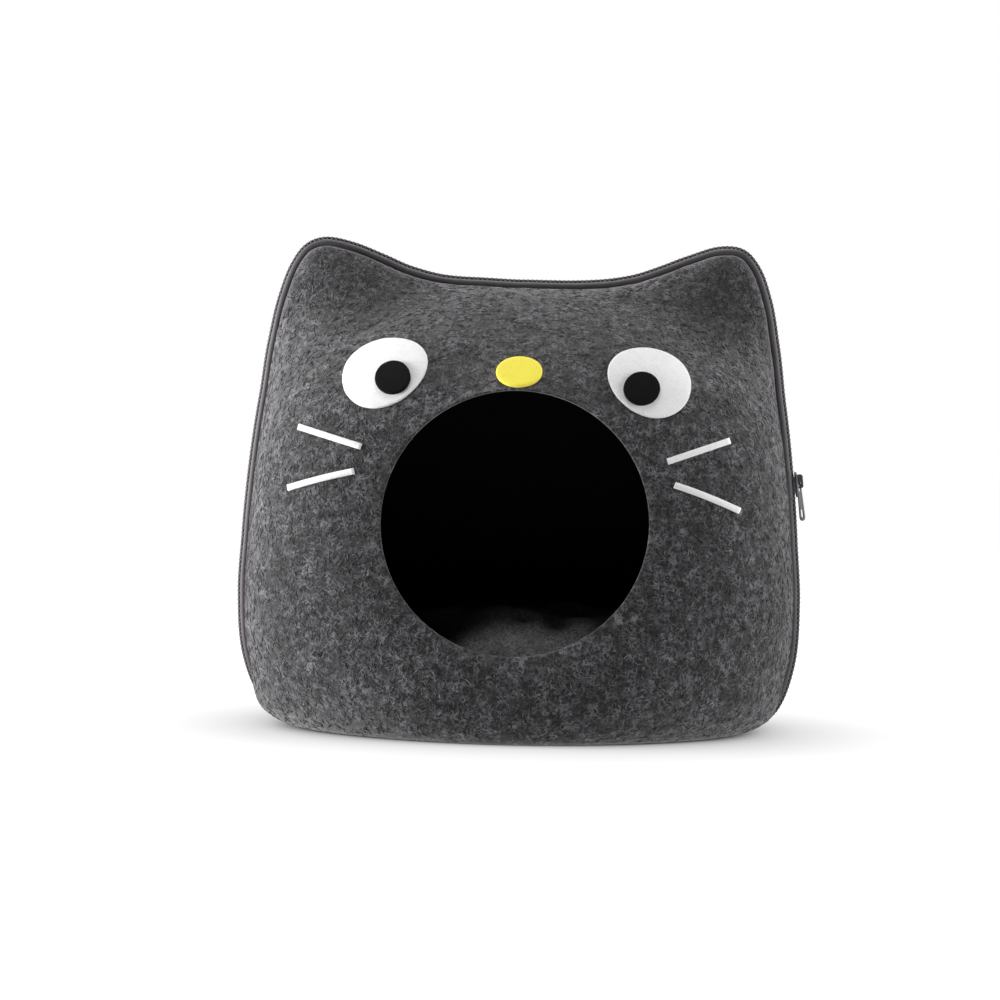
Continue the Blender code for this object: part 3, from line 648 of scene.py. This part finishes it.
def add_fibres(name, outer, normals, seed, material):
    """Pale curly fibres that lie loose on the felt: three-sided spindles, sunk in at both ends."""
    draw = np.random.default_rng(seed)
    first, last = len(EDGE_SPOTS), outer.shape[1] - len(EDGE_SPOTS) - 1
    along_u = np.roll(outer, -1, axis=0) - outer
    along_v = np.gradient(outer, axis=1)
    area = np.linalg.norm(np.cross(along_u, along_v), axis=2)
    area[outer[..., 2] < FIBRE_FLOOR] = 0.0
    area[:, :first] = area[:, last:] = 0.0
    cells = draw.choice(area.size, FIBRES, p=area.ravel() / area.sum())
    u, v = cells // area.shape[1] + draw.random(FIBRES), cells % area.shape[1] + draw.random(FIBRES)
    heading = draw.uniform(0, 2 * math.pi, FIBRES)
    bend = draw.normal(0, FIBRE_CURL, FIBRES)
    step = draw.uniform(*FIBRE_STEP, FIBRES)
    width = draw.uniform(*FIBRE_WIDTH, FIBRES)
    points, sides, crowns = [], [], []
    for k in range(FIBRE_POINTS):
        share = k / (FIBRE_POINTS - 1)
        place, up, run_u, run_v = (sample(grid, u, v) for grid in (outer, normals, along_u, along_v))
        across = unit(np.cross(up, run_u))
        ahead = np.cross(across, up)
        move = step[:, None] * (np.cos(heading)[:, None] * ahead + np.sin(heading)[:, None] * across)
        uu, vv, uv = (run_u**2).sum(1), (run_v**2).sum(1), (run_u * run_v).sum(1)
        mu, mv = (move * run_u).sum(1), (move * run_v).sum(1)
        det = uu * vv - uv**2
        points.append(place + up * (FIBRE_LIFT * math.sin(math.pi * share) - 0.02))
        taper = 0.35 + 0.65 * math.sin(math.pi * share)
        sides.append(np.cross(up, move) / step[:, None] * (width * taper / 2)[:, None])
        crowns.append(up * (width * taper * FIBRE_CROWN)[:, None])
        u = u + (mu * vv - mv * uv) / det
        v = np.clip(v + (mv * uu - mu * uv) / det, 1.0, outer.shape[1] - 2.0)
        heading = heading + bend + draw.normal(0, FIBRE_CURL, FIBRES)
    points, sides, crowns = (np.stack(part, axis=1) for part in (points, sides, crowns))
    corners = np.stack([points - sides, points + sides, points + crowns], axis=2)[:, 1:-1]
    spindles = np.concatenate([points[:, :1], corners.reshape(FIBRES, -1, 3), points[:, -1:]], axis=1)
    size = spindles.shape[1]
    one = [face[::-1] for face in fan(1, 3, 0)] + fan(size - 4, 3, size - 1)
    for a, b, c, d in (ring_faces(FIBRE_POINTS - 2, 3) + 1).tolist():
        one += [(a, b, c), (a, c, d)]
    faces = (np.array(one) + np.arange(FIBRES)[:, None, None] * size).reshape(-1, 3)
    return add_mesh(name, spindles, faces, material)


# ---- the zip
def smooth_line(points):
    """More points, on a smooth curve through a few."""
    points = np.array(points, float)
    padded = np.concatenate([[2 * points[0] - points[1]], points, [2 * points[-1] - points[-2]]])
    made = []
    for k in range(len(points) - 1):
        a, b, c, d = padded[k:k + 4]
        for step in np.arange(BAND_STEPS) / BAND_STEPS:
            made.append(0.5 * (2 * b + (c - a) * step + (2 * a - 5 * b + 4 * c - d) * step**2
                               + (3 * b - a - 3 * c + d) * step**3))
    return np.array(made + [points[-1]])


def place_on_zip(turns, y, out):
    """Points beside the zip's line: y from the middle plane, and out from the felt's edge."""
    shape = (len(turns),) + (1,) * (out.ndim - 1) + (3,)
    edge, normal = (part.reshape(shape) for part in zip_frame(turns))
    points = edge + normal * out[..., None]
    points[..., 1] = y
    return points


def sideways(line):
    """Unit directions square to a line in (y, out), away from the cave."""
    along = np.gradient(line, axis=-2)
    return unit(np.stack([along[..., 1], -along[..., 0]], axis=-1))


def add_band(name, turns, side, material):
    """A folded tape: from under the felt, out in a round fold and in again to the coil."""
    share = ridge_share(turns)[:, None, None]
    middle = smooth_line(BAND_PROUD) * share + smooth_line(BAND_SUNK) * (1 - share)
    across = sideways(middle) * TAPE / 2
    ring = np.concatenate([middle + across, (middle - across)[:, ::-1]], axis=1)
    points = place_on_zip(turns, side * ring[..., 0], ring[..., 1])
    return add_rings(name, points[None], material, closed=True)


BY_SLIDER = np.linspace(60, 110, 501)  # turns among which the slider's place is looked for
OVERLAP_TOP = 20  # how far the upper tape's folded end reaches, under the slider
OVERLAP_THICK = 0.55
OVERLAP_STEPS = 9
OVERLAP_LOW = -1.5
OVERLAP_INNER = 3.95
OVERLAP_UNDER = 0.45  # where its underside is, in tapes from the middle of the lower one


def add_overlap(name, side, material):
    """The upper tape's end, folded over the lower one where the zip closes."""
    heights = np.linspace(SEAM_Z + OVERLAP_TOP, SEAM_Z, OVERLAP_STEPS)
    turns = np.interp(-heights, -zip_frame(BY_SLIDER)[0][:, 2], BY_SLIDER)
    middle = smooth_line(BAND_PROUD)
    across = sideways(middle)
    keep = (middle[:, 1] > OVERLAP_LOW) & (middle[:, 0] > OVERLAP_INNER)
    middle, across = middle[keep], across[keep]
    ring = np.concatenate([middle + across * (TAPE / 2 + OVERLAP_THICK),
                           (middle + across * TAPE * OVERLAP_UNDER)[::-1]])
    points = place_on_zip(turns, side * ring[:, 0], np.tile(ring[:, 1], (len(turns), 1)))
    return add_rings(name, points[None], material, ends=True)


LOOP = ((-2, -2.3, -0.5), (-1.9, -1.5, -0.4), (-1.2, -0.98, -0.2), (0, -0.9, 0), (1.2, -0.98, 0.2),
        (1.9, -1.5, 0.4), (2, -2.3, 0.5))  # y, down from the crest, and along the zip
WIRE_RADIUS = 0.9
WIRE_SIDES = 6


def along_zip(turns):
    return np.cross(zip_frame(turns)[1], (0.0, 1.0, 0.0))


def add_coil(turns, material):
    """A nylon coil: a bent loop of wire at each pitch."""
    forward, loop = along_zip(turns)[:, None], np.array(LOOP)
    line = place_on_zip(turns, loop[:, 0], zip_top(turns)[:, None] + loop[:, 1])
    line = line + forward * loop[:, 2, None]
    tangent = unit(np.gradient(line, axis=1))
    first = unit(np.cross(tangent, forward))
    second = np.cross(tangent, first)
    angles = np.arange(WIRE_SIDES)[:, None] / WIRE_SIDES * 2 * math.pi
    rings = (line[:, :, None] + first[:, :, None] * np.cos(angles) * WIRE_RADIUS
             + second[:, :, None] * np.sin(angles) * WIRE_RADIUS)
    return add_rings("zip_teeth", rings, material, ends=True)


CORE = ((-2.5, -2.6), (-2.4, -1.1), (-1.3, -0.42), (1.3, -0.42), (2.4, -1.1), (2.5, -2.6))


def add_core(turns, material):
    core = np.array(CORE)
    points = place_on_zip(turns, core[:, 0], zip_top(turns)[:, None] + core[:, 1])
    return add_rings("zip_core", points[None], material, closed=True)


STITCH = ((-1, 0), (-0.7, 0.75), (0, 1), (0.7, 0.75), (1, 0))  # along, and round
STITCH_LENGTH = 1.5
STITCH_ROUND = 0.55
STITCH_SIDES = 5
STITCH_Y = 2.95
STITCH_DOWN = 1.85


def add_stitches(turns, material):
    """The thread that holds the coil: a short bead at each pitch, along both tapes."""
    profile = np.array(STITCH)
    angles = np.arange(STITCH_SIDES)[:, None] / STITCH_SIDES * 2 * math.pi
    outward = zip_frame(turns)[1][:, None, None]
    along = along_zip(turns)[:, None, None] * (profile[:, 0] * STITCH_LENGTH / 2)[:, None, None]
    ring = np.cos(angles) * [0.0, 1.0, 0.0] + np.sin(angles) * outward
    ring = ring * profile[:, 1, None, None] * STITCH_ROUND
    rows = [place_on_zip(turns, side * STITCH_Y, zip_top(turns) - STITCH_DOWN) for side in (-1, 1)]
    points = np.concatenate([row[:, None, None] + along + ring for row in rows])
    return add_rings("zip_stitches", points, material)


# ---- the face
# name, x, z, half length, half width, turn in degrees, how much wider its end is, thickness, how high it
# lies over the front, slot
FACE = (
    ("eye_white_left", -88, 246.6, 30, 23.1, 22, -0.10, 1.6, 0.15, "felt_white"),
    ("eye_white_right", 90.2, 242.8, 28.9, 22.7, -23, 0.10, 1.6, 0.15, "felt_white"),
    ("pupil_left", -81.5, 241.3, 12.1, 11, 0, 0, 2.4, 1.75, "felt_black"),
    ("pupil_right", 85.2, 236.6, 12.1, 10.9, 0, 0, 2.4, 1.75, "felt_black"),
    ("nose", 3.3, 247.3, 15.6, 10.3, 1, 0, 2, 0.15, "felt_yellow"),
)
WHISKER_THICK = 1.1
WHISKER_HALF_WIDTH = 2.1
WHISKER_LIFT = 0.15
WHISKER_STEPS = 24
WHISKER_PROFILE = ((-1, 0), (-1, 0.7), (-0.86, 1), (0, 1.05), (0.86, 1), (1, 0.7), (1, 0))
# name, outer end's x and z, inner end's x and z, and how far its middle bends up
WHISKERS = (
    ("whisker_upper_left", -146, 208.5, -100.8, 195.8, 0),
    ("whisker_lower_left", -151.4, 167.1, -104.8, 179.5, 0.6),
    ("whisker_upper_right", 144.9, 204, 103.5, 189.4, 0),
    ("whisker_lower_right", 152.1, 157.3, 108.4, 174.1, 0.8),
)
PATCH_POINTS = 96
PATCH_RINGS = 12
PATCH_RIM = 4  # of them on the rounded rim
PATCH_WOBBLE = 0.008
PATCH_ROUND = 0.9
IN_FRONT = -400
FEEL = 6


def surface_point(tree, x, z):
    """Where a line from the front meets the felt, and the felt's normal, evened out round it."""
    hit, slope = None, Vector((0.0, 0.0, 0.0))
    for dx, dz in ((0, 0), (FEEL, 0), (-FEEL, 0), (0, FEEL), (0, -FEEL)):
        place, facing, *_ = tree.ray_cast(Vector((x + dx, IN_FRONT, z + dz)), Vector((0.0, 1.0, 0.0)))
        if place is None:
            continue
        slope += facing if facing.y < 0 else -facing
        if hit is None:
            hit = place
    return np.array(hit), np.array(slope.normalized())


def add_patch(row, tree, material):
    """A face piece of flat felt: it follows what it lies on, and its rim rounds over."""
    name, centre_x, centre_z, half_length, half_width, turn, egg, thick, base = row
    turn = math.radians(turn)
    top, under = [], []
    for ring in range(PATCH_RINGS + 1):
        share = (1 - PATCH_ROUND / half_width) * (PATCH_RINGS - ring) / (PATCH_RINGS - PATCH_RIM)
        if ring < PATCH_RIM:
            share = 1 - PATCH_ROUND * (ring / PATCH_RIM) ** 1.5 / half_width
        depth = max(0.0, PATCH_ROUND - (1 - share) * half_width)
        height = thick - PATCH_ROUND + math.sqrt(max(PATCH_ROUND**2 - depth**2, 0.0))
        upper, lower = [], []
        for k in range(PATCH_POINTS if ring < PATCH_RINGS else 1):
            angle = 2 * math.pi * k / PATCH_POINTS
            c, s = math.cos(angle), math.sin(angle)
            reach = share * (1 + PATCH_WOBBLE * noise.noise(Vector((3 * c, 3 * s, centre_x))))
            along, across = half_length * reach * c, half_width * reach * s * (1 + egg * c)
            place, slope = surface_point(tree, centre_x + along * math.cos(turn) - across * math.sin(turn),
                                         centre_z + along * math.sin(turn) + across * math.cos(turn))
            upper.append(place + slope * (base + height))
            lower.append(place + slope * base)
        top.append(upper)
        under.append(lower)
    rings = under[-2::-1] + top[:-1]
    return add_skin(name + "_felt", rings, under[-1] + top[-1], material)


def add_whisker(row, tree, material):
    """A strip of felt with square ends and soft long edges."""
    name, outer_x, outer_z, inner_x, inner_z, bend = row
    start, end = np.array([outer_x, outer_z]), np.array([inner_x, inner_z])
    along = unit(end - start)
    across = np.array([-along[1], along[0]])
    rings = []
    for share in np.arange(WHISKER_STEPS + 1) / WHISKER_STEPS:
        middle = start + (end - start) * share + [0.0, bend * 4 * share * (1 - share)]
        _, slope = surface_point(tree, *middle)
        for hand, height in WHISKER_PROFILE:
            spot, _ = surface_point(tree, *(middle + across * hand * WHISKER_HALF_WIDTH))
            rings.append(spot + slope * (WHISKER_LIFT + height * WHISKER_THICK))
    rings = np.reshape(rings, (1, -1, len(WHISKER_PROFILE), 3))
    return add_rings(name + "_felt", rings, material, ends=True)


# ---- the cushion
CUSHION_VOXEL = 5
CUSHION_START = 0.965
CUSHION_PRESSURE = 4
CUSHION_FRAMES = 20
CUSHION_CAP = 9  # no point moves further than this
CUSHION_CROWN = (30, 55)  # heights above its underside over which hollows and waves come up
CUSHION_WAVES = ((17, 1.6),)
# hollows in the plush, and mounds where the depth is negative: x, y, radius across, radius deep, depth
HOLLOWS = (
    (-56, -86, 28, 30, 15),
    (-8, -66, 26, 14, -3),
    (8, -78, 5, 5, 6),
    (31, -74, 9, 18, 7),
    (54, -84, 18, 12, -4),
    (46, -48, 24, 14, 6),
    (-66, -10, 40, 24, 5),
    (66, 14, 36, 30, 4),
    (0, 40, 60, 30, 3),
)


def add_cushion(material):
    """The cushion's solid, swollen by pressure inside the cloth, with hollows in its crown."""
    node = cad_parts["cushion"]
    made = add_object("cushion_plush", node.data.copy())
    made.data.materials.clear()
    made.data.materials.append(material)
    low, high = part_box("cushion")
    middle = (low + high) / 2
    made.data.transform(Matrix.Translation(middle) @ Matrix.Scale(CUSHION_START, 4)
                        @ Matrix.Translation(-middle))
    bpy.context.view_layer.objects.active = made
    made.select_set(True)
    remesh = made.modifiers.new("even", "REMESH")
    remesh.mode = "VOXEL"
    remesh.voxel_size = CUSHION_VOXEL * MM
    bpy.ops.object.modifier_apply(modifier=remesh.name)
    rest = np.array([v.co for v in made.data.vertices])
    swell(made)
    points = np.array([v.co for v in made.data.vertices])
    move = points - rest
    length = np.linalg.norm(move, axis=1, keepdims=True)
    points = rest + move * np.minimum(1.0, CUSHION_CAP * MM / np.maximum(length, 1e-9))
    points[:, 2] = np.maximum(points[:, 2], low.z)
    spots = points / MM
    crown = smooth_step(*CUSHION_CROWN, spots[:, 2] - low.z / MM) * MM
    for x, y, wide, deep, depth in HOLLOWS:
        away = ((spots[:, 0] - x) / wide) ** 2 + ((spots[:, 1] - y) / deep) ** 2
        points[:, 2] -= depth * crown * np.exp(-away)
    points[:, 2] += crown * uneven(spots, CUSHION_WAVES, 0.0)
    made.data.vertices.foreach_set("co", points.ravel())
    made.data.update()
    finer = made.modifiers.new("finer", "SUBSURF")
    finer.levels = finer.render_levels = 1
    bpy.ops.object.modifier_apply(modifier=finer.name)
    made.data.shade_smooth()
    made.select_set(False)
    return made


def swell(made):
    """Pressure inside the closed cloth rounds its crown and draws in its sides."""
    scene = bpy.context.scene
    cloth = made.modifiers.new("cloth", "CLOTH")
    cloth.settings.use_pressure = True
    cloth.settings.uniform_pressure_force = CUSHION_PRESSURE
    cloth.settings.effector_weights.gravity = 0.0
    scene.frame_start, scene.frame_end = 1, CUSHION_FRAMES
    cloth.point_cache.frame_start, cloth.point_cache.frame_end = 1, CUSHION_FRAMES
    for step in range(1, CUSHION_FRAMES + 1):
        scene.frame_set(step)
    bpy.ops.object.modifier_apply(modifier=cloth.name)
    scene.frame_set(1)


# ---- the slider and its pull
SLIDER_Z = 173.5
SLIDER_PLATE = 1.5
SLIDER_GAP = 0.3  # between the zip's crest and the plate
FLANGE_HALF_HEIGHT = 1.5
FLANGE_AT = 3.65
LUG_OUT = 3.65  # its middle, out from the zip's crest
LUG_HALF_THICK = 1.3
PULL_LENGTH = 27
PULL_WIDTH = 6.6
PULL_TOP_WIDTH = 4
PULL_THICK = 1
PULL_TOP = 1.5
PULL_OUT = 2.9  # its middle, out from the zip's crest
PULL_TILT = 1.8
PULL_TWIST = -33  # it hangs turned, its outer face towards the front
# outlines: width, low, high and corner radius, those after the first being holes
PLATE_LOOPS = ((8.8, -8.5, 8.5, 3.4),)
FLANGE_LOOPS = ((1.3, -5.5, 5.5, 0.6),)
LUG_LOOPS = ((4.3, -2.6, 6.8, 1.6), (2.1, -1.5, 1.8, 1))
PULL_LOOPS = ((PULL_WIDTH, -PULL_LENGTH, 0, 2.6), (4.4, -6.6, -1.5, 1.2), (4, -25.4, -18.4, 2))


def moved(x, y, z):
    return Matrix.Translation(Vector((x, y, z)) * MM)


def turned(degrees, axis):
    return Matrix.Rotation(math.radians(degrees), 4, axis)


def slider_frame():
    """The zip's crest at the slider's height, with axes across, up the zip and outwards."""
    edge, normal = zip_frame(BY_SLIDER)
    k = int(np.argmin(np.abs(edge[:, 2] - SLIDER_Z)))
    out = Vector(normal[k])
    matrix = Matrix(((0.0, 1.0, 0.0), (-out.z, 0.0, out.x), out)).transposed().to_4x4()
    matrix.translation = Vector(edge[k] + normal[k] * RIDGE + CENTRE) * MM
    return matrix


def outline(name, loops, half_height, bevel, matrix, material):
    """A plate from closed outlines in (across, up) mm, the later ones holes, with rounded edges."""
    curve = bpy.data.curves.new(name, "CURVE")
    curve.dimensions, curve.fill_mode = "2D", "BOTH"
    curve.extrude = (half_height - bevel) * MM
    curve.bevel_depth, curve.bevel_resolution = bevel * MM, 2
    for loop in loops:
        spline = curve.splines.new("POLY")
        spline.points.add(len(loop) - 1)
        for point, (x, y) in zip(spline.points, loop):
            point.co = (x * MM, y * MM, 0.0, 1.0)
        spline.use_cyclic_u = True
    shape = add_object(name + "_curve", curve)
    mesh = bpy.data.meshes.new_from_object(shape.evaluated_get(bpy.context.evaluated_depsgraph_get()))
    bpy.data.objects.remove(shape)
    mesh.name = name
    mesh.materials.clear()
    mesh.materials.append(material)
    mesh.transform(matrix)
    mesh.shade_smooth()
    mesh.set_sharp_from_angle(angle=math.radians(50))
    return add_object(name, mesh)


def stadium(width, low, high, corner, steps=7):
    """A rounded rectangle across width, from low to high, as points."""
    corner = min(corner, width / 2, (high - low) / 2)
    points = []
    for x, y, start in ((width / 2 - corner, high - corner, 0), (corner - width / 2, high - corner, 90),
                        (corner - width / 2, low + corner, 180), (width / 2 - corner, low + corner, 270)):
        for k in range(steps):
            angle = math.radians(start + 90 * k / (steps - 1))
            points.append((x + corner * math.cos(angle), y + corner * math.sin(angle)))
    return points


def join(pieces, name):
    shape = bmesh.new()
    for piece in pieces:
        shape.from_mesh(piece.data)
    made = pieces[0]
    shape.to_mesh(made.data)
    shape.free()
    for piece in pieces[1:]:
        bpy.data.objects.remove(piece)
    made.name = name
    return made


def add_slider(matrix, material):
    """The slider: a rounded plate with flanges beside the coil, and a lug that the pull hangs in."""
    out = SLIDER_GAP + SLIDER_PLATE / 2
    plates = [("plate", PLATE_LOOPS, SLIDER_PLATE / 2, 0.5, moved(0.0, 0.0, out))]
    plates += [("flange", FLANGE_LOOPS, FLANGE_HALF_HEIGHT, 0.3, moved(x, 0.0, out - FLANGE_HALF_HEIGHT))
               for x in (-FLANGE_AT, FLANGE_AT)]
    plates.append(("lug", LUG_LOOPS, LUG_HALF_THICK, 0.3, moved(0.0, 0.0, LUG_OUT) @ turned(-90.0, "Y")))
    pieces = [outline(name, [stadium(*loop) for loop in loops], half, bevel, matrix @ place, material)
              for name, loops, half, bevel, place in plates]
    return join(pieces, "slider_body")


def add_pull(matrix, material):
    """The pull: a flat tab, narrower at its top, with an eye there and a long hole near its foot."""
    place = moved(0.0, PULL_TOP, PULL_OUT) @ turned(-PULL_TILT, "X") @ turned(PULL_TWIST, "Y")
    slim = 1 - PULL_TOP_WIDTH / PULL_WIDTH
    loops = [[(x * (1 - slim * (1 + y / PULL_LENGTH)), y) for x, y in stadium(*loop)]
             for loop in PULL_LOOPS]
    return outline("pull_tab", loops, PULL_THICK / 2, 0.35, matrix @ place, material)


# ---- camera, floor and light
CAMERA_AZIMUTH = 3
CAMERA_DISTANCE = 1900
CAMERA_HEIGHT = 200
CAMERA_PITCH = 1.22
CAMERA_ROLL = 1
CAMERA_SIDE = -15
CAMERA_LENS = 96.3
SENSOR_WIDTH = 36
# name, place in metres, size in metres, power in watts
LIGHTS = (
    ("left", (-1.9, -0.15, 0.3), 0.6, 50),
    ("left_low", (-1.9, -0.9, 0.35), 0.8, 12),
    ("left_high", (-1.2, -0.5, 1.7), 1, 4),
    ("left_back", (-1.4, 0.9, 0.9), 1, 19),
    ("right", (1.9, -0.3, 0.6), 1, 25),
    ("right_back", (1.4, 0.9, 0.9), 1, 12),
    ("above", (0, 0, 2.2), 1.2, 24),
    ("back", (0, 1.2, 1.8), 1.2, 15),
)
LIGHT_TARGET = (0, -0.05, 0.17)
FLOOR_SIZE = 30
FLOOR_GLOW = (0.85, 1)  # the floor's own light, near the cave and away from it
FLOOR_GLOW_REACH = (420, 1150)
FLOOR_GIVES = 0.78  # the share of it that falls on the cave
SHADE_REACH = 0.10  # how far the soft shade round the cave's foot goes, in metres
SHADE_POWER = 0.5


def add_camera():
    data = bpy.data.cameras.new("camera")
    data.lens, data.sensor_width = CAMERA_LENS, SENSOR_WIDTH
    camera = add_object("camera", data)
    camera.matrix_world = (
        turned(CAMERA_AZIMUTH, "Z") @ moved(CAMERA_SIDE, -CAMERA_DISTANCE, CAMERA_HEIGHT)
        @ turned(90.0 - CAMERA_PITCH, "X") @ turned(CAMERA_ROLL, "Z"))
    bpy.context.scene.camera = camera


def add_lights():
    for name, place, size, power in LIGHTS:
        data = bpy.data.lights.new(name, "AREA")
        data.size, data.energy = size, power
        light = add_object(name, data)
        light.location = place
        light.rotation_euler = (Vector(LIGHT_TARGET) - Vector(place)).to_track_quat("-Z", "Y").to_euler()


def add_world():
    """White where the camera sees past the floor. It gives no light."""
    world = bpy.data.worlds.new("studio")
    bpy.context.scene.world = world
    world.use_nodes = True
    tree = world.node_tree
    background = tree.nodes["Background"].inputs
    background["Color"].default_value = (1.0, 1.0, 1.0, 1.0)
    tree.links.new(tree.nodes.new("ShaderNodeLightPath").outputs["Is Camera Ray"], background["Strength"])


def add_floor():
    half = FLOOR_SIZE / 2 / MM
    paint = Paint("floor_paint", 0.9)
    clouds = paint.noise(400.0, 2.0)
    paint.colour(paint.mix(clouds, (0.115, 0.115, 0.115), (0.125, 0.125, 0.125)))
    away = paint.add("VectorMath", {0: paint.place}, operation="LENGTH").outputs["Value"]
    seen = paint.add("LightPath").outputs["Is Camera Ray"]
    glow = paint.times(paint.span(away, *FLOOR_GLOW_REACH, *FLOOR_GLOW),
                       paint.span(seen, 0.0, 1.0, FLOOR_GIVES, 1.0))
    open_sky = paint.add("AmbientOcclusion", {"Distance": SHADE_REACH}, samples=8).outputs["AO"]
    shade = paint.maths("POWER", open_sky, paint.times(seen, SHADE_POWER))
    glow = paint.times(glow, shade)
    paint.shader.inputs["Emission Color"].default_value = (1.0, 1.0, 1.0, 1.0)
    paint.tree.links.new(glow, paint.shader.inputs["Emission Strength"])
    corners = [(-half, -half, 0.0), (half, -half, 0.0), (half, half, 0.0), (-half, half, 0.0)]
    add_mesh("floor", np.array(corners), [(0, 1, 2, 3)], paint.material)


def main():
    add_camera()
    add_lights()
    add_world()
    add_floor()
    scene = bpy.context.scene
    scene.view_settings.view_transform = "Standard"
    scene.view_settings.look = "None"

    turns, zip_length = even_turns(STATIONS)
    grey, inner = grey_felt(), inner_painted_shade()
    white = flat_felt("white_felt", (0.885, 0.88, 0.89), (0.73, 0.73, 0.735))
    black = flat_felt("black_felt", (0.0035, 0.0034, 0.0037), (0.0012, 0.0012, 0.0012), 0.01, 0.15)
    yellow = flat_felt("yellow_felt", (0.98, 0.86, 0.085), (0.90, 0.74, 0.06))
    cloth = zip_cloth()
    nylon = plain("nylon", (0.014, 0.012, 0.014), (0.024, 0.021, 0.024), 0.6)
    thread = plain("thread", (0.12, 0.108, 0.116), (0.20, 0.183, 0.193), 0.8, size=0.8, relief=0.1)
    metal = plain("gunmetal", (0.085, 0.085, 0.090), (0.14, 0.14, 0.145), 0.38, 0.85, size=1.5)

    front_outer, front_inner, front_normals = felt_faces(turns, -1, 2.0)
    back_outer, back_inner, back_normals = felt_faces(turns, 1, 7.0)
    front = add_shell("front_felt", front_outer, front_inner, True, (grey, inner))
    back = add_shell("back_felt", back_outer, back_inner, False, (grey, inner))
    dress(front, "felt_grey", "front_shell")
    dress(back, "felt_grey", "back_shell")
    for side, name in ((-1, "front"), (1, "back")):
        band = dress(add_band(f"zip_band_{name}", turns, side, cloth), "tape", f"zip_tape_{name}")
        end = dress(add_overlap(f"zip_end_{name}", side, cloth), "tape")
    pitch_turns, _ = even_turns(int(zip_length / ZIP_PITCH))
    dress(add_coil(pitch_turns, nylon), "coil", "zip_coil")
    dress(add_core(turns, nylon), "coil")
    dress(add_stitches(pitch_turns, thread), "tape")

    runs = front_outer.shape[1]
    rings = np.concatenate([front_outer[:, run] for run in range(runs)])
    tree = BVHTree.FromPolygons(rings.tolist(), ring_faces(runs, len(turns)).tolist())
    fibre = loose_fibre()
    on_front = [dress(add_fibres("front_fibres", front_outer, front_normals, 11, fibre), "felt_grey")]
    on_back = [dress(add_fibres("back_fibres", back_outer, back_normals, 12, fibre), "felt_grey")]
    felts = {"felt_white": white, "felt_black": black, "felt_yellow": yellow}
    for *row, slot in FACE:
        piece = dress(add_patch(row, tree, felts[slot]), slot, row[0])
    for row in WHISKERS:
        on_front.append(dress(add_whisker(row, tree, white), "felt_white", row[0]))

    matrix = slider_frame()
    dress(add_slider(matrix, metal), "metal", "zip_slider")
    dress(add_pull(matrix, metal), "metal", "zip_pull")
    cushion = dress(add_cushion(plush_cloth()), "plush", "cushion")


main()
